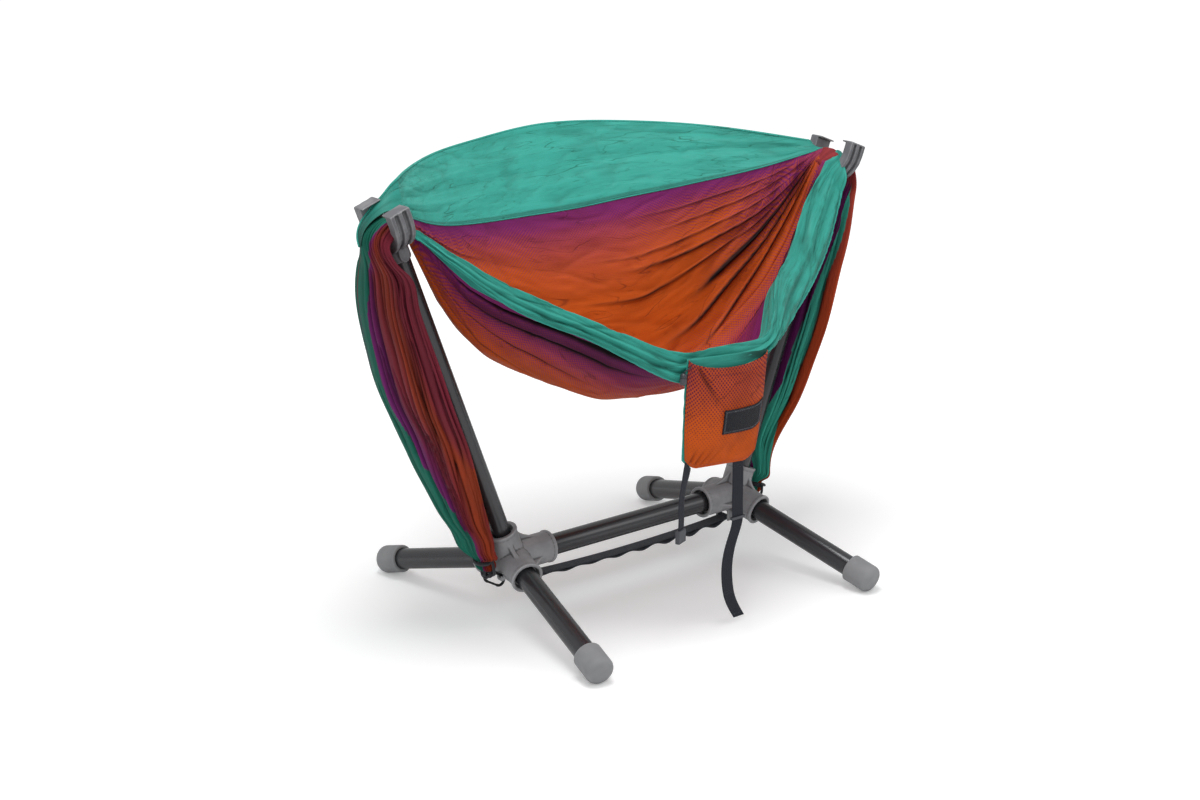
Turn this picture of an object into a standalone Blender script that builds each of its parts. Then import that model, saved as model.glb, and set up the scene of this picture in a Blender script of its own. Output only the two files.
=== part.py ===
"""Hammock hung as a chair on a four-legged stand with two leaning uprights.

Metres, +Z up. X runs along the spine tube, the pouch side faces -Y, and the
origin is on the floor below the middle of the spine.
"""

import math

import bmesh
import bpy
import numpy as np
from mathutils import Matrix, Vector

# Stand, sizes in metres and angles in degrees
HUB_SPACING = 0.528
SPINE_TUBE_RADIUS = 0.019
LEG_TUBE_RADIUS = 0.019
UPRIGHT_TUBE_RADIUS = 0.0163
TUBE_WALL = 0.0016
LEG_REACH = 0.339
LEG_SLOPE = 15.7
LEG_SWEEP = 9.6
UPRIGHT_LEAN = 20.9
SADDLE_DISTANCE = 0.640

# Hub
TUBE_SEAT = 0.026
SPINE_SOCKET_LENGTH = 0.083
LEG_SOCKET_LENGTH = 0.067
UPRIGHT_SOCKET_LENGTH = 0.057
SOCKET_WALL = 0.0092
MOUTH_GAP = 0.0045
MOUTH_DEPTH = 0.012
MOUTH_RING_WIDTH = 0.005
MOUTH_RING_LIP = 0.0016
WEB_THICKNESS = 0.007
WEB_NECK = 0.034
EYE_DISTANCE = 0.036
EYE_RADIUS = 0.005
EYE_RIM = 0.005
BAR_RADIUS = 0.003
BAR_INSET = 0.020
BAR_DROP = 0.041
CHEEK_THICKNESS = 0.004
CHEEK_WIDTH = 0.014
CHEEK_EDGE = 0.002
STRAP_CLEARANCE = 0.0007

# Foot cap
CAP_RADIUS = 0.0254
CAP_LENGTH = 0.054
CAP_ROUNDING = 0.012
CAP_END_WALL = 0.008
CAP_MOUTH_ROUNDING = 0.003
FLOOR_FLAT = 0.0006

# Yoke
PRONG_GAP = 0.072
PRONG_THICKNESS = 0.018
PRONG_REACH = 0.058
YOKE_WIDTH = 0.038
TIP_THICKNESS = 0.003
TIP_LIP = 0.009
GROOVE_WIDTH = 0.008
GROOVE_DEPTH = 0.005
SLEEVE_WALL = 0.0030
SLEEVE_LENGTH = 0.037
FLOOR_THICKNESS = 0.015
TONGUE_LENGTH = 0.030
TONGUE_WIDTH = 0.020
TONGUE_THICKNESS = 0.003

# Webbing, cords and carabiners
WEBBING_WIDTH = 0.025
WEBBING_THICKNESS = 0.0016
STRAP_SAG = 0.008
STRAP_LOOPS = 8
STRAP_LOOP_DEPTH = 0.008
CARABINER_WIRE = 0.0025
CARABINER_WIDTH = 0.019
CARABINER_STRAIGHT = 0.026
GATE_LENGTH = 0.021
GATE_WIRE = 0.0020
GATE_HINGE_GAP = 0.0010
CORD_RADIUS = 0.0025

# Cloth and pouch
CLOTH_THICKNESS = 0.0024
SEAM_GAP = 0.0005
FRONT_SEAM_DEPTH = 0.040
BELLY_BULGE = 0.07
BACK_BULGE = 0.05
PLEATS = 6
LEFT_PLEAT_DEPTH = 0.0045
RIGHT_PLEAT_DEPTH = 0.006
PLEAT_PEAK = 0.13
BAND_CREASE = 0.0024
REAR_CREASE = 0.003
END_LOBES = 6
END_GROOVE = 0.14
POUCH_WIDTH = 0.179
POUCH_HEIGHT = 0.191
POUCH_CENTRE = -0.004
POUCH_DROP = 0.217
POUCH_TILT = 4.5
POUCH_BULGE = 0.013
POUCH_MOUTH_DIP = 0.020
POUCH_CORNER = 0.017
POUCH_CLOTH = 0.0020
PATCH_WIDTH = 0.088
PATCH_HEIGHT = 0.046
PATCH_DROP = 0.092
PATCH_MARGIN = 0.003
PATCH_THICKNESS = 0.0010
SHORT_STRAP_WIDTH = 0.0185
SHORT_STRAP_DROP = 0.112
LONG_STRAP_DROP = 0.290
BUCKLE_WIDTH = 0.024
BUCKLE_LENGTH = 0.023
BUCKLE_THICKNESS = 0.008
BUCKLE_SLOT_WIDTH = 0.0044
BUCKLE_SLOT_LENGTH = 0.014
SLIDER_BAR = 0.0016
SLIDER_HEIGHT = 0.005
LOCK_RADIUS = 0.006
LOCK_LENGTH = 0.020
LOCK_DROP = 0.18
FIT = 0.0003

# Cloth edges, left yoke to right yoke: share of the half span, y, and drop below the saddle
RIM = (
    (-1.00, -0.030, -0.014),
    (-0.80, -0.118, 0.063),
    (-0.55, -0.177, 0.127),
    (-0.30, -0.232, 0.186),
    (-0.16, -0.249, 0.204),
    (0.04, -0.251, 0.205),
    (0.24, -0.243, 0.198),
    (0.42, -0.170, 0.141),
    (0.62, -0.112, 0.104),
    (0.81, -0.066, 0.043),
    (1.00, -0.028, -0.022),
)
FRONT_HEM = (
    (-1.00, -0.036, 0.030),
    (-0.83, -0.124, 0.105),
    (-0.57, -0.187, 0.157),
    (-0.325, -0.244, 0.228),
    (-0.17, -0.259, 0.253),
    (0.04, -0.260, 0.253),
    (0.24, -0.252, 0.228),
    (0.475, -0.193, 0.200),
    (0.703, -0.145, 0.163),
    (0.90, -0.104, 0.106),
    (1.00, -0.050, 0.002),
)
BOTTOM = (
    (-1.00, 0.000, 0.010),
    (-0.80, -0.008, 0.173),
    (-0.55, -0.012, 0.260),
    (-0.30, -0.014, 0.316),
    (-0.16, -0.014, 0.335),
    (0.04, -0.014, 0.345),
    (0.24, -0.012, 0.342),
    (0.42, -0.010, 0.317),
    (0.62, -0.008, 0.260),
    (0.81, -0.004, 0.168),
    (1.00, 0.000, 0.010),
)
REAR_SEAM = (
    (-1.00, 0.013, -0.033),
    (-0.80, 0.060, 0.003),
    (-0.55, 0.110, 0.025),
    (-0.30, 0.144, 0.035),
    (-0.16, 0.155, 0.038),
    (0.04, 0.158, 0.038),
    (0.24, 0.150, 0.031),
    (0.42, 0.130, 0.022),
    (0.62, 0.102, 0.009),
    (0.81, 0.062, -0.009),
    (1.00, 0.014, -0.037),
)
REAR_HEM = (
    (-1.00, 0.030, -0.088),
    (-0.80, 0.134, -0.080),
    (-0.55, 0.222, -0.081),
    (-0.30, 0.277, -0.082),
    (-0.16, 0.292, -0.086),
    (0.04, 0.295, -0.093),
    (0.24, 0.281, -0.093),
    (0.42, 0.250, -0.089),
    (0.62, 0.200, -0.082),
    (0.81, 0.130, -0.071),
    (1.00, 0.033, -0.055),
)
SEAT_COLUMNS = (
    -1.0, -0.97, -0.935, -0.895, -0.85, -0.79, -0.71, -0.61, -0.50, -0.38, -0.25, -0.12, 0.02,
    0.15, 0.28, 0.40, 0.52, 0.63, 0.725, 0.80, 0.86, 0.905, 0.94, 0.97, 1.0,
)

# Gathered end over the yoke: offset outwards in yoke widths, rise of its underside from
# the saddle, y, half width as a share of half the prong gap, half depth, and turn from
# straight outwards in degrees
OVER_YOKE = (
    (-1.014, -0.0075, 0.000, 0.917, 0.0290, -20.9),
    (-0.530, 0.0014, 0.000, 0.833, 0.0275, 0.0),
    (-0.150, 0.0009, 0.000, 0.828, 0.0268, 0.0),
    (0.280, 0.0010, 0.000, 0.806, 0.0262, 6.0),
    (0.700, 0.0030, 0.000, 0.806, 0.0205, 40.0),
    (0.900, -0.0180, 0.001, 1.167, 0.0145, 72.0),
)
# Along the upright: share of the saddle distance, clearance, y, half width, half depth
DOWN_UPRIGHT = (
    (0.945, 0.0045, 0.008, 0.0590, 0.0130),
    (0.852, 0.0016, 0.022, 0.0830, 0.0185),
    (0.698, 0.0016, 0.034, 0.0990, 0.0240),
    (0.537, 0.0016, 0.038, 0.1050, 0.0280),
    (0.444, 0.0010, 0.039, 0.1030, 0.0265),
    (0.324, 0.0016, 0.036, 0.0910, 0.0270),
    (0.242, 0.0016, 0.031, 0.0770, 0.0270),
)
# Beside the hub: distance from the hub centre, clearance, y, half width, half depth
LOWER_END = (
    (0.1060, 0.0030, 0.024, 0.0630, 0.0260),
    (0.0768, 0.0130, 0.016, 0.0590, 0.0190),
    (0.0580, 0.0210, 0.008, 0.0540, 0.0165),
    (0.0450, 0.0215, 0.003, 0.0440, 0.0150),
    (0.0360, 0.0220, 0.001, 0.0210, 0.0125),
    (0.0270, 0.0220, 0.000, 0.0170, 0.0115),
    (0.0175, 0.0205, 0.000, 0.0205, 0.0140),
    (0.0110, 0.0215, 0.000, 0.0160, 0.0100),
)
NECK = LOWER_END[5]
BULB = LOWER_END[6]
COLLAR_RISE = 0.003
COLLAR_CLEARANCE = 0.0026

# Worked out from the sizes above
CAP_LOW = (CAP_RADIUS - CAP_ROUNDING) * math.cos(math.radians(LEG_SLOPE))
CAP_END_HEIGHT = CAP_LOW + CAP_ROUNDING * (1 - math.sin(math.radians(LEG_SLOPE))) - FLOOR_FLAT
HUB_HEIGHT = CAP_END_HEIGHT + LEG_REACH * math.sin(math.radians(LEG_SLOPE))
BALL_RADIUS = LEG_TUBE_RADIUS + SOCKET_WALL + MOUTH_RING_LIP
PRONG_INNER = PRONG_GAP / 2
SADDLE_HEIGHT = HUB_HEIGHT + SADDLE_DISTANCE * math.cos(math.radians(UPRIGHT_LEAN))
SADDLE_X = HUB_SPACING / 2 + SADDLE_DISTANCE * math.sin(math.radians(UPRIGHT_LEAN))
SEAT_HALF_SPAN = SADDLE_X - 0.8 * YOKE_WIDTH
SIDES = (("left", -1), ("right", 1))
ENDS = (("front", -1), ("rear", 1))


def clear_scene():
    for obj in list(bpy.data.objects):
        bpy.data.objects.remove(obj, do_unlink=True)


def new_collection(name):
    collection = bpy.data.collections.new(name)
    bpy.context.scene.collection.children.link(collection)
    return collection


def new_material(name, colour, roughness, metallic=0.0):
    material = bpy.data.materials.new(name)
    material.use_nodes = True
    shader = material.node_tree.nodes["Principled BSDF"]
    shader.inputs["Base Color"].default_value = (*colour, 1.0)
    shader.inputs["Roughness"].default_value = roughness
    shader.inputs["Metallic"].default_value = metallic
    return material


def finish(obj, name, material):
    """Names a finished piece and puts it with the parts, in its own material."""
    obj.name = name
    obj.data.name = name
    obj.data.materials.clear()
    obj.data.materials.append(material)
    for collection in list(obj.users_collection):
        collection.objects.unlink(obj)
    PARTS.objects.link(obj)
    return obj


def as_cutter(obj):
    obj.hide_render = True
    obj.display_type = "WIRE"
    for collection in list(obj.users_collection):
        collection.objects.unlink(obj)
    CUTTERS.objects.link(obj)
    return obj


def mesh_object(name, bm):
    mesh = bpy.data.meshes.new(name)
    bm.to_mesh(mesh)
    bm.free()
    obj = bpy.data.objects.new(name, mesh)
    CUTTERS.objects.link(obj)
    return obj


def axes_matrix(origin, x_axis, y_axis, z_axis):
    columns = [Vector(x_axis), Vector(y_axis), Vector(z_axis)]
    matrix = Matrix([[column[row] for column in columns] for row in range(3)]).to_4x4()
    matrix.translation = Vector(origin)
    return matrix


def along(origin, direction):
    """Matrix whose local +Z runs along the direction."""
    direction = Vector(direction).normalized()
    sideways = Vector((0, 1, 0)) if abs(direction.y) < 0.9 else Vector((1, 0, 0))
    x_axis = sideways.cross(direction).normalized()
    return axes_matrix(origin, x_axis, direction.cross(x_axis), direction)


def cylinder(name, radius, start, end, segments=32):
    """Closed cylinder between two points."""
    start, end = Vector(start), Vector(end)
    length = (end - start).length
    bm = bmesh.new()
    bmesh.ops.create_cone(
        bm, cap_ends=True, segments=segments, radius1=radius, radius2=radius, depth=length
    )
    bmesh.ops.translate(bm, verts=bm.verts, vec=(0, 0, length / 2))
    obj = mesh_object(name, bm)
    obj.matrix_world = along(start, end - start)
    return obj


def box(name, low, high):
    bm = bmesh.new()
    bmesh.ops.create_cube(bm, size=1.0)
    size = Vector(high) - Vector(low)
    bmesh.ops.scale(bm, verts=bm.verts, vec=size)
    bmesh.ops.translate(bm, verts=bm.verts, vec=Vector(low) + size / 2)
    return mesh_object(name, bm)


def turned(name, profile, matrix, steps=24):
    """Turned piece: a closed or axis-to-axis profile of (radius, height), spun round local Z."""
    mesh = bpy.data.meshes.new(name)
    count = len(profile)
    on_axis = profile[0][0] == 0 and profile[-1][0] == 0
    edges = [(i, i + 1) for i in range(count - 1)]
    if not on_axis:
        edges.append((count - 1, 0))
    mesh.from_pydata([(radius, 0, height) for radius, height in profile], edges, [])
    obj = bpy.data.objects.new(name, mesh)
    CUTTERS.objects.link(obj)
    obj.matrix_world = matrix
    screw = obj.modifiers.new("Turn", "SCREW")
    screw.steps = steps
    screw.render_steps = steps
    screw.use_merge_vertices = True
    screw.merge_threshold = 0.00001
    screw.use_smooth_shade = True
    return obj


def tube(name, radius, start, end, material):
    """Hollow tube between two points."""
    length = (Vector(end) - Vector(start)).length
    inner = radius - TUBE_WALL
    profile = [(inner, length), (radius, length), (radius, 0), (inner, 0)]
    obj = turned(name, profile, along(start, Vector(end) - Vector(start)))
    return finish(obj, name, material)


def plate(name, outlines, thickness, matrix):
    """Flat plate from one outline and its holes, centred on its local XY plane."""
    curve = bpy.data.curves.new(name, "CURVE")
    curve.dimensions = "2D"
    curve.fill_mode = "BOTH"
    curve.extrude = thickness / 2
    for outline in outlines:
        spline = curve.splines.new("POLY")
        spline.points.add(len(outline) - 1)
        for point, (x, y) in zip(spline.points, outline):
            point.co = (x, y, 0, 1)
        spline.use_cyclic_u = True
    return mesh_from_curve(name, curve, matrix)


def wire(name, points, radius, matrix=None, closed=False, resolution=2):
    """Round wire or cord along points."""
    curve = bpy.data.curves.new(name, "CURVE")
    curve.dimensions = "3D"
    curve.bevel_depth = radius
    curve.bevel_resolution = resolution
    curve.use_fill_caps = True
    spline = curve.splines.new("POLY")
    spline.points.add(len(points) - 1)
    for point, place in zip(spline.points, points):
        point.co = (*place, 1)
    spline.use_cyclic_u = closed
    return mesh_from_curve(name, curve, matrix or Matrix.Identity(4))


def mesh_from_curve(name, curve, matrix):
    source = bpy.data.objects.new(name + " curve", curve)
    CUTTERS.objects.link(source)
    source.matrix_world = matrix
    bpy.context.view_layer.update()
    evaluated = source.evaluated_get(bpy.context.evaluated_depsgraph_get())
    mesh = bpy.data.meshes.new_from_object(evaluated)
    bm = bmesh.new()
    bm.from_mesh(mesh)
    bmesh.ops.remove_doubles(bm, verts=bm.verts, dist=0.00001)
    bmesh.ops.recalc_face_normals(bm, faces=bm.faces)
    bpy.data.objects.remove(source, do_unlink=True)
    bpy.data.meshes.remove(mesh)
    obj = mesh_object(name, bm)
    obj.matrix_world = matrix
    return obj


def boolean(obj, other, operation, solver="MANIFOLD"):
    modifier = obj.modifiers.new(other.name, "BOOLEAN")
    modifier.operation = operation
    modifier.solver = solver
    modifier.object = as_cutter(other)
    return obj


def apply_cuts(obj):
    """Makes the Booleans part of the mesh, so that the piece can be turned into place."""
    bpy.context.view_layer.update()
    evaluated = obj.evaluated_get(bpy.context.evaluated_depsgraph_get())
    obj.data = bpy.data.meshes.new_from_object(evaluated)
    used = [modifier.object for modifier in obj.modifiers]
    obj.modifiers.clear()
    for cutter in used:
        bpy.data.objects.remove(cutter, do_unlink=True)


def arc(centre_x, centre_y, radius, start, end, count):
    """Points on an arc, angles in degrees."""
    angles = [math.radians(start + (end - start) * i / (count - 1)) for i in range(count)]
    return [(centre_x + radius * math.cos(a), centre_y + radius * math.sin(a)) for a in angles]


def smooth_line(knots, points, samples):
    """Natural cubic through points at the knots, read at the samples."""
    knots = np.asarray(knots, float)
    points = np.asarray(points, float)
    samples = np.asarray(samples, float)
    count = len(knots)
    step = np.diff(knots)
    system = np.eye(count)
    right = np.zeros((count, points.shape[1]))
    for i in range(1, count - 1):
        system[i, i - 1 : i + 2] = (step[i - 1], 2 * (step[i - 1] + step[i]), step[i])
        rise = (points[i + 1] - points[i]) / step[i] - (points[i] - points[i - 1]) / step[i - 1]
        right[i] = 6 * rise
    bend = np.linalg.solve(system, right)
    index = np.clip(np.searchsorted(knots, samples, side="right") - 1, 0, count - 2)
    width = step[index][:, None]
    before = (samples - knots[index])[:, None]
    after = width - before
    curve = (bend[index] * after**3 + bend[index + 1] * before**3) / (6 * width)
    curve += (points[index] / width - bend[index] * width / 6) * after
    curve += (points[index + 1] / width - bend[index + 1] * width / 6) * before
    return curve


def through(points, count, dense=None):
    """Points along a smooth line through the given ones, spaced by length or at given shares."""
    points = np.asarray(points, float)
    steps = np.linalg.norm(np.diff(points, axis=0), axis=1)
    knots = np.concatenate([[0.0], np.cumsum(steps)]) / steps.sum()
    shares = np.linspace(0, 1, count) if dense is None else np.asarray(dense)
    return smooth_line(knots, points, shares)


def unit(vectors):
    return vectors / np.linalg.norm(vectors, axis=-1, keepdims=True)


def grid_normals(grid):
    across = np.gradient(grid, axis=0)
    lengthways = np.gradient(grid, axis=1)
    return unit(np.cross(lengthways, across))


def sheet(name, grid, thickness):
    """Sheet of even thickness about a grid of points, rows by columns."""
    rows, columns = grid.shape[:2]
    bm = bmesh.new()
    verts = [[bm.verts.new(grid[r, c]) for c in range(columns)] for r in range(rows)]
    for r in range(rows - 1):
        for c in range(columns - 1):
            bm.faces.new((verts[r][c], verts[r][c + 1], verts[r + 1][c + 1], verts[r + 1][c]))
    bmesh.ops.triangulate(bm, faces=bm.faces)
    for face in bm.faces:
        face.smooth = True
    obj = mesh_object(name, bm)
    solidify = obj.modifiers.new("Thickness", "SOLIDIFY")
    solidify.thickness = thickness
    solidify.offset = 0
    return obj


def loft(name, rings):
    """Closed solid through rings of points, with flat ends."""
    bm = bmesh.new()
    verts = [[bm.verts.new(point) for point in ring] for ring in rings]
    count = len(rings[0])
    for near, far in zip(verts[:-1], verts[1:]):
        for i in range(count):
            j = (i + 1) % count
            bm.faces.new((near[i], near[j], far[j], far[i]))
    bm.faces.new(verts[0])
    bm.faces.new(verts[-1])
    bmesh.ops.recalc_face_normals(bm, faces=bm.faces)
    for face in bm.faces:
        face.smooth = len(face.verts) == 4
    bmesh.ops.triangulate(bm, faces=bm.faces)
    return mesh_object(name, bm)


def hub_centre(side):
    return Vector((side * HUB_SPACING / 2, 0, HUB_HEIGHT))


def leg_direction(side, end):
    slope, sweep = math.radians(LEG_SLOPE), math.radians(LEG_SWEEP)
    flat = math.cos(slope)
    return Vector((side * flat * math.sin(sweep), end * flat * math.cos(sweep), -math.sin(slope)))


def upright_direction(side):
    lean = math.radians(UPRIGHT_LEAN)
    return Vector((side * math.sin(lean), 0, math.cos(lean)))


def upright_point(side, distance, offset, y=0.0):
    """Point beside an upright: distance from the hub centre, offset outwards, and y."""
    lean = math.radians(UPRIGHT_LEAN)
    outwards = Vector((side * math.cos(lean), 0, -math.sin(lean)))
    place = hub_centre(side) + upright_direction(side) * distance + outwards * offset
    return Vector((place.x, y, place.z))


def eye_frame(side):
    """Direction of the web between the legs, and the direction out of its face."""
    down = (leg_direction(side, -1) + leg_direction(side, 1)).normalized()
    return down, Vector((side * -down.z, 0, side * down.x))


def web(name, first, second):
    """Plate between two of a hub's arms, with a hollow curved edge."""
    first_way, first_length, first_radius = first
    second_way, second_length, second_radius = second
    normal = first_way.cross(second_way).normalized()
    angle = first_way.angle(second_way)
    near = first_length - MOUTH_RING_WIDTH
    far = second_length - MOUTH_RING_WIDTH
    radius = (min(first_radius, second_radius) + SOCKET_WALL) * 0.9
    far_way = Vector((math.cos(angle), math.sin(angle)))
    start = Vector((near, radius))
    stop = far_way * far + Vector((math.sin(angle), -math.cos(angle))) * radius
    middle = Vector((math.cos(angle / 2), math.sin(angle / 2))) * WEB_NECK
    outline = [(0, 0), (near, 0)]
    for i in range(7):
        t = i / 6
        point = start * (1 - t) ** 2 + middle * 2 * t * (1 - t) + stop * t**2
        outline.append((point.x, point.y))
    outline.append(tuple(far_way * far))
    frame = axes_matrix((0, 0, 0), first_way, normal.cross(first_way), normal)
    return plate(name, [outline], WEB_THICKNESS, frame)


def build_hub(label, side):
    """Moulded block with four sockets, made round its own centre and then put in place."""
    name = f"{label}_hub"
    thin = UPRIGHT_TUBE_RADIUS + MOUTH_RING_LIP
    arms = {
        "spine": (Vector((-side, 0, 0)), SPINE_SOCKET_LENGTH, SPINE_TUBE_RADIUS),
        "upright": (upright_direction(side), UPRIGHT_SOCKET_LENGTH, thin),
    }
    for end_name, end in ENDS:
        arms[end_name] = (leg_direction(side, end), LEG_SOCKET_LENGTH, LEG_TUBE_RADIUS)

    bm = bmesh.new()
    bmesh.ops.create_uvsphere(bm, u_segments=20, v_segments=10, radius=BALL_RADIUS)
    hub = mesh_object(name, bm)
    for arm, (direction, length, radius) in arms.items():
        outer = radius + SOCKET_WALL
        ring = outer + MOUTH_RING_LIP
        shoulder = length - MOUTH_RING_WIDTH
        profile = [(0, length), (ring, length), (ring, shoulder), (outer, shoulder), (outer, 0), (0, 0)]
        boolean(hub, turned(f"{name} {arm} arm", profile, along((0, 0, 0), direction), 22), "UNION")

    pairs = (
        ("upright", "spine"), ("upright", "front"), ("upright", "rear"),
        ("spine", "front"), ("spine", "rear"), ("front", "rear"),
    )
    for first, second in pairs:
        boolean(hub, web(f"{name} web {first} {second}", arms[first], arms[second]), "UNION")

    down, out = eye_frame(side)
    eye = down * EYE_DISTANCE
    half = out * WEB_THICKNESS * 0.51
    boolean(hub, cylinder(f"{name} eye rim", EYE_RADIUS + EYE_RIM, eye - half, eye + half, 20), "UNION")
    boolean(hub, cylinder(f"{name} eye", EYE_RADIUS, eye - half * 4, eye + half * 4, 16), "DIFFERENCE")

    bar_x = -side * BAR_INSET
    cheek_inner = WEBBING_WIDTH / 2 + STRAP_CLEARANCE
    cheek_outer = cheek_inner + CHEEK_THICKNESS
    for end in (-1, 1):
        ys = sorted((end * cheek_inner, end * cheek_outer))
        low = (bar_x - CHEEK_WIDTH / 2, ys[0], -BAR_DROP - BAR_RADIUS - CHEEK_EDGE)
        high = (bar_x + CHEEK_WIDTH / 2, ys[1], -BALL_RADIUS * 0.6)
        boolean(hub, box(f"{name} cheek {end}", low, high), "UNION")
    bar_end = cheek_inner + CHEEK_THICKNESS / 2
    bar = cylinder(f"{name} bar", BAR_RADIUS, (bar_x, -bar_end, -BAR_DROP), (bar_x, bar_end, -BAR_DROP), 14)
    boolean(hub, bar, "UNION")

    for arm, (direction, length, radius) in arms.items():
        fit = (UPRIGHT_TUBE_RADIUS if arm == "upright" else radius) + FIT
        wide = fit + MOUTH_GAP
        beyond = length + MOUTH_DEPTH
        floor = TUBE_SEAT - FIT
        step = length - MOUTH_DEPTH
        profile = [(0, beyond), (wide, beyond), (wide, step), (fit, step), (fit, floor), (0, floor)]
        boolean(hub, turned(f"{name} {arm} bore", profile, along((0, 0, 0), direction), 22), "DIFFERENCE")
    apply_cuts(hub)
    hub.matrix_world = Matrix.Translation(hub_centre(side))
    return finish(hub, name, HUB_PLASTIC)


def build_frame_tubes():
    reach = HUB_SPACING / 2 - TUBE_SEAT
    tube("spine_tube", SPINE_TUBE_RADIUS, (-reach, 0, HUB_HEIGHT), (reach, 0, HUB_HEIGHT), TUBE_METAL)
    top = SADDLE_DISTANCE - FLOOR_THICKNESS - FIT
    for label, side in SIDES:
        direction = upright_direction(side)
        centre = hub_centre(side)
        start, end = centre + direction * TUBE_SEAT, centre + direction * top
        tube(f"{label}_upright_tube", UPRIGHT_TUBE_RADIUS, start, end, TUBE_METAL)


def build_leg(side_name, side, end_name, end):
    direction = leg_direction(side, end)
    centre = hub_centre(side)
    tip = LEG_REACH - CAP_END_WALL - FIT
    name = f"{end_name}_{side_name}_leg_tube"
    tube(name, LEG_TUBE_RADIUS, centre + direction * TUBE_SEAT, centre + direction * tip, TUBE_METAL)

    bore = LEG_TUBE_RADIUS + FIT
    profile = [(0, 0)]
    profile += [(r, -h) for r, h in arc(CAP_RADIUS - CAP_ROUNDING, CAP_ROUNDING, CAP_ROUNDING, -90, 0, 5)]
    mouth = CAP_LENGTH - CAP_MOUTH_ROUNDING
    rounding = CAP_MOUTH_ROUNDING
    profile += [(r, -h) for r, h in arc(CAP_RADIUS - rounding, mouth, rounding, 0, 90, 3)]
    profile += [(bore, -CAP_LENGTH), (bore, -CAP_END_WALL), (0, -CAP_END_WALL)]
    cap_name = f"{end_name}_{side_name}_foot_cap"
    cap = turned(cap_name, profile, along(centre + direction * LEG_REACH, direction), 20)
    reach = LEG_REACH * 2
    floor = box(f"{cap_name} floor cut", (-reach, -reach, -0.05), (reach, reach, 0))
    boolean(cap, floor, "DIFFERENCE")
    finish(cap, cap_name, CAP_RUBBER)


def fork_outline(inner, outer, tip):
    """U between two radii round the fork's bend, with straight prongs; the saddle is y = 0."""
    outside = arc(0, PRONG_INNER, outer, 180, 360, 13)
    inside = arc(0, PRONG_INNER, inner, 360, 180, 13)
    return [(-outer, tip)] + outside + [(outer, tip), (inner, tip)] + inside + [(-inner, tip)]


def build_yoke(label, side):
    """Ribbed fork with its sleeve, made lying flat and then stood on the upright."""
    name = f"{label}_yoke"
    outer = PRONG_INNER + PRONG_THICKNESS
    tip = PRONG_REACH
    core = fork_outline(PRONG_INNER, outer - GROOVE_DEPTH, tip - TIP_THICKNESS / 2)
    yoke = plate(name, [core], YOKE_WIDTH - 2 * FIT, Matrix.Identity(4))

    rib_width = (YOKE_WIDTH - 2 * GROOVE_WIDTH) / 3
    rib_pitch = rib_width + GROOVE_WIDTH
    for row in (-1, 0, 1):
        rib = fork_outline(PRONG_INNER + GROOVE_DEPTH, outer, tip - TIP_THICKNESS / 3)
        place = Matrix.Translation((0, 0, rib_pitch * row))
        boolean(yoke, plate(f"{name} rib {row}", [rib], rib_width, place), "UNION")

    sleeve_radius = UPRIGHT_TUBE_RADIUS + FIT + SLEEVE_WALL
    sleeve_top = (0, -FLOOR_THICKNESS * 0.4, 0)
    sleeve = cylinder(f"{name} sleeve", sleeve_radius, (0, -SLEEVE_LENGTH, 0), sleeve_top, 24)
    boolean(yoke, sleeve, "UNION")

    tongue = [(x * TONGUE_WIDTH / 2, y * TONGUE_LENGTH / 2) for x, y in arc(0, 0, 1, 0, 345, 20)]
    for end in (-1, 1):
        low_edge, high_edge = sorted((end * (PRONG_INNER - TIP_LIP), end * (outer - 0.001)))
        lip = [(low_edge, tip - TIP_THICKNESS), (high_edge, tip - TIP_THICKNESS),
               (high_edge, tip), (low_edge, tip)]
        lip_plate = plate(f"{name} lip {end}", [lip], YOKE_WIDTH - 4 * FIT, Matrix.Identity(4))
        boolean(yoke, lip_plate, "UNION")
        place = (end * sleeve_radius * 0.92, TONGUE_LENGTH * 0.45 - SLEEVE_LENGTH, 0)
        tongue_frame = axes_matrix(place, (0, 0, -end), (0, 1, 0), (end, 0, 0))
        tongue_plate = plate(f"{name} tongue {end}", [tongue], TONGUE_THICKNESS * 2, tongue_frame)
        boolean(yoke, tongue_plate, "UNION")

    bore_start = (0, -SLEEVE_LENGTH - 0.01, 0)
    bore = cylinder(f"{name} bore", UPRIGHT_TUBE_RADIUS + FIT, bore_start, (0, -FLOOR_THICKNESS, 0), 24)
    boolean(yoke, bore, "DIFFERENCE")
    apply_cuts(yoke)

    direction = upright_direction(side)
    saddle = hub_centre(side) + direction * SADDLE_DISTANCE
    outwards = Vector((side * direction.z, 0, -side * direction.x))
    yoke.matrix_world = axes_matrix(saddle, (0, side, 0), direction, outwards)
    return finish(yoke, name, HUB_PLASTIC)


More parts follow.
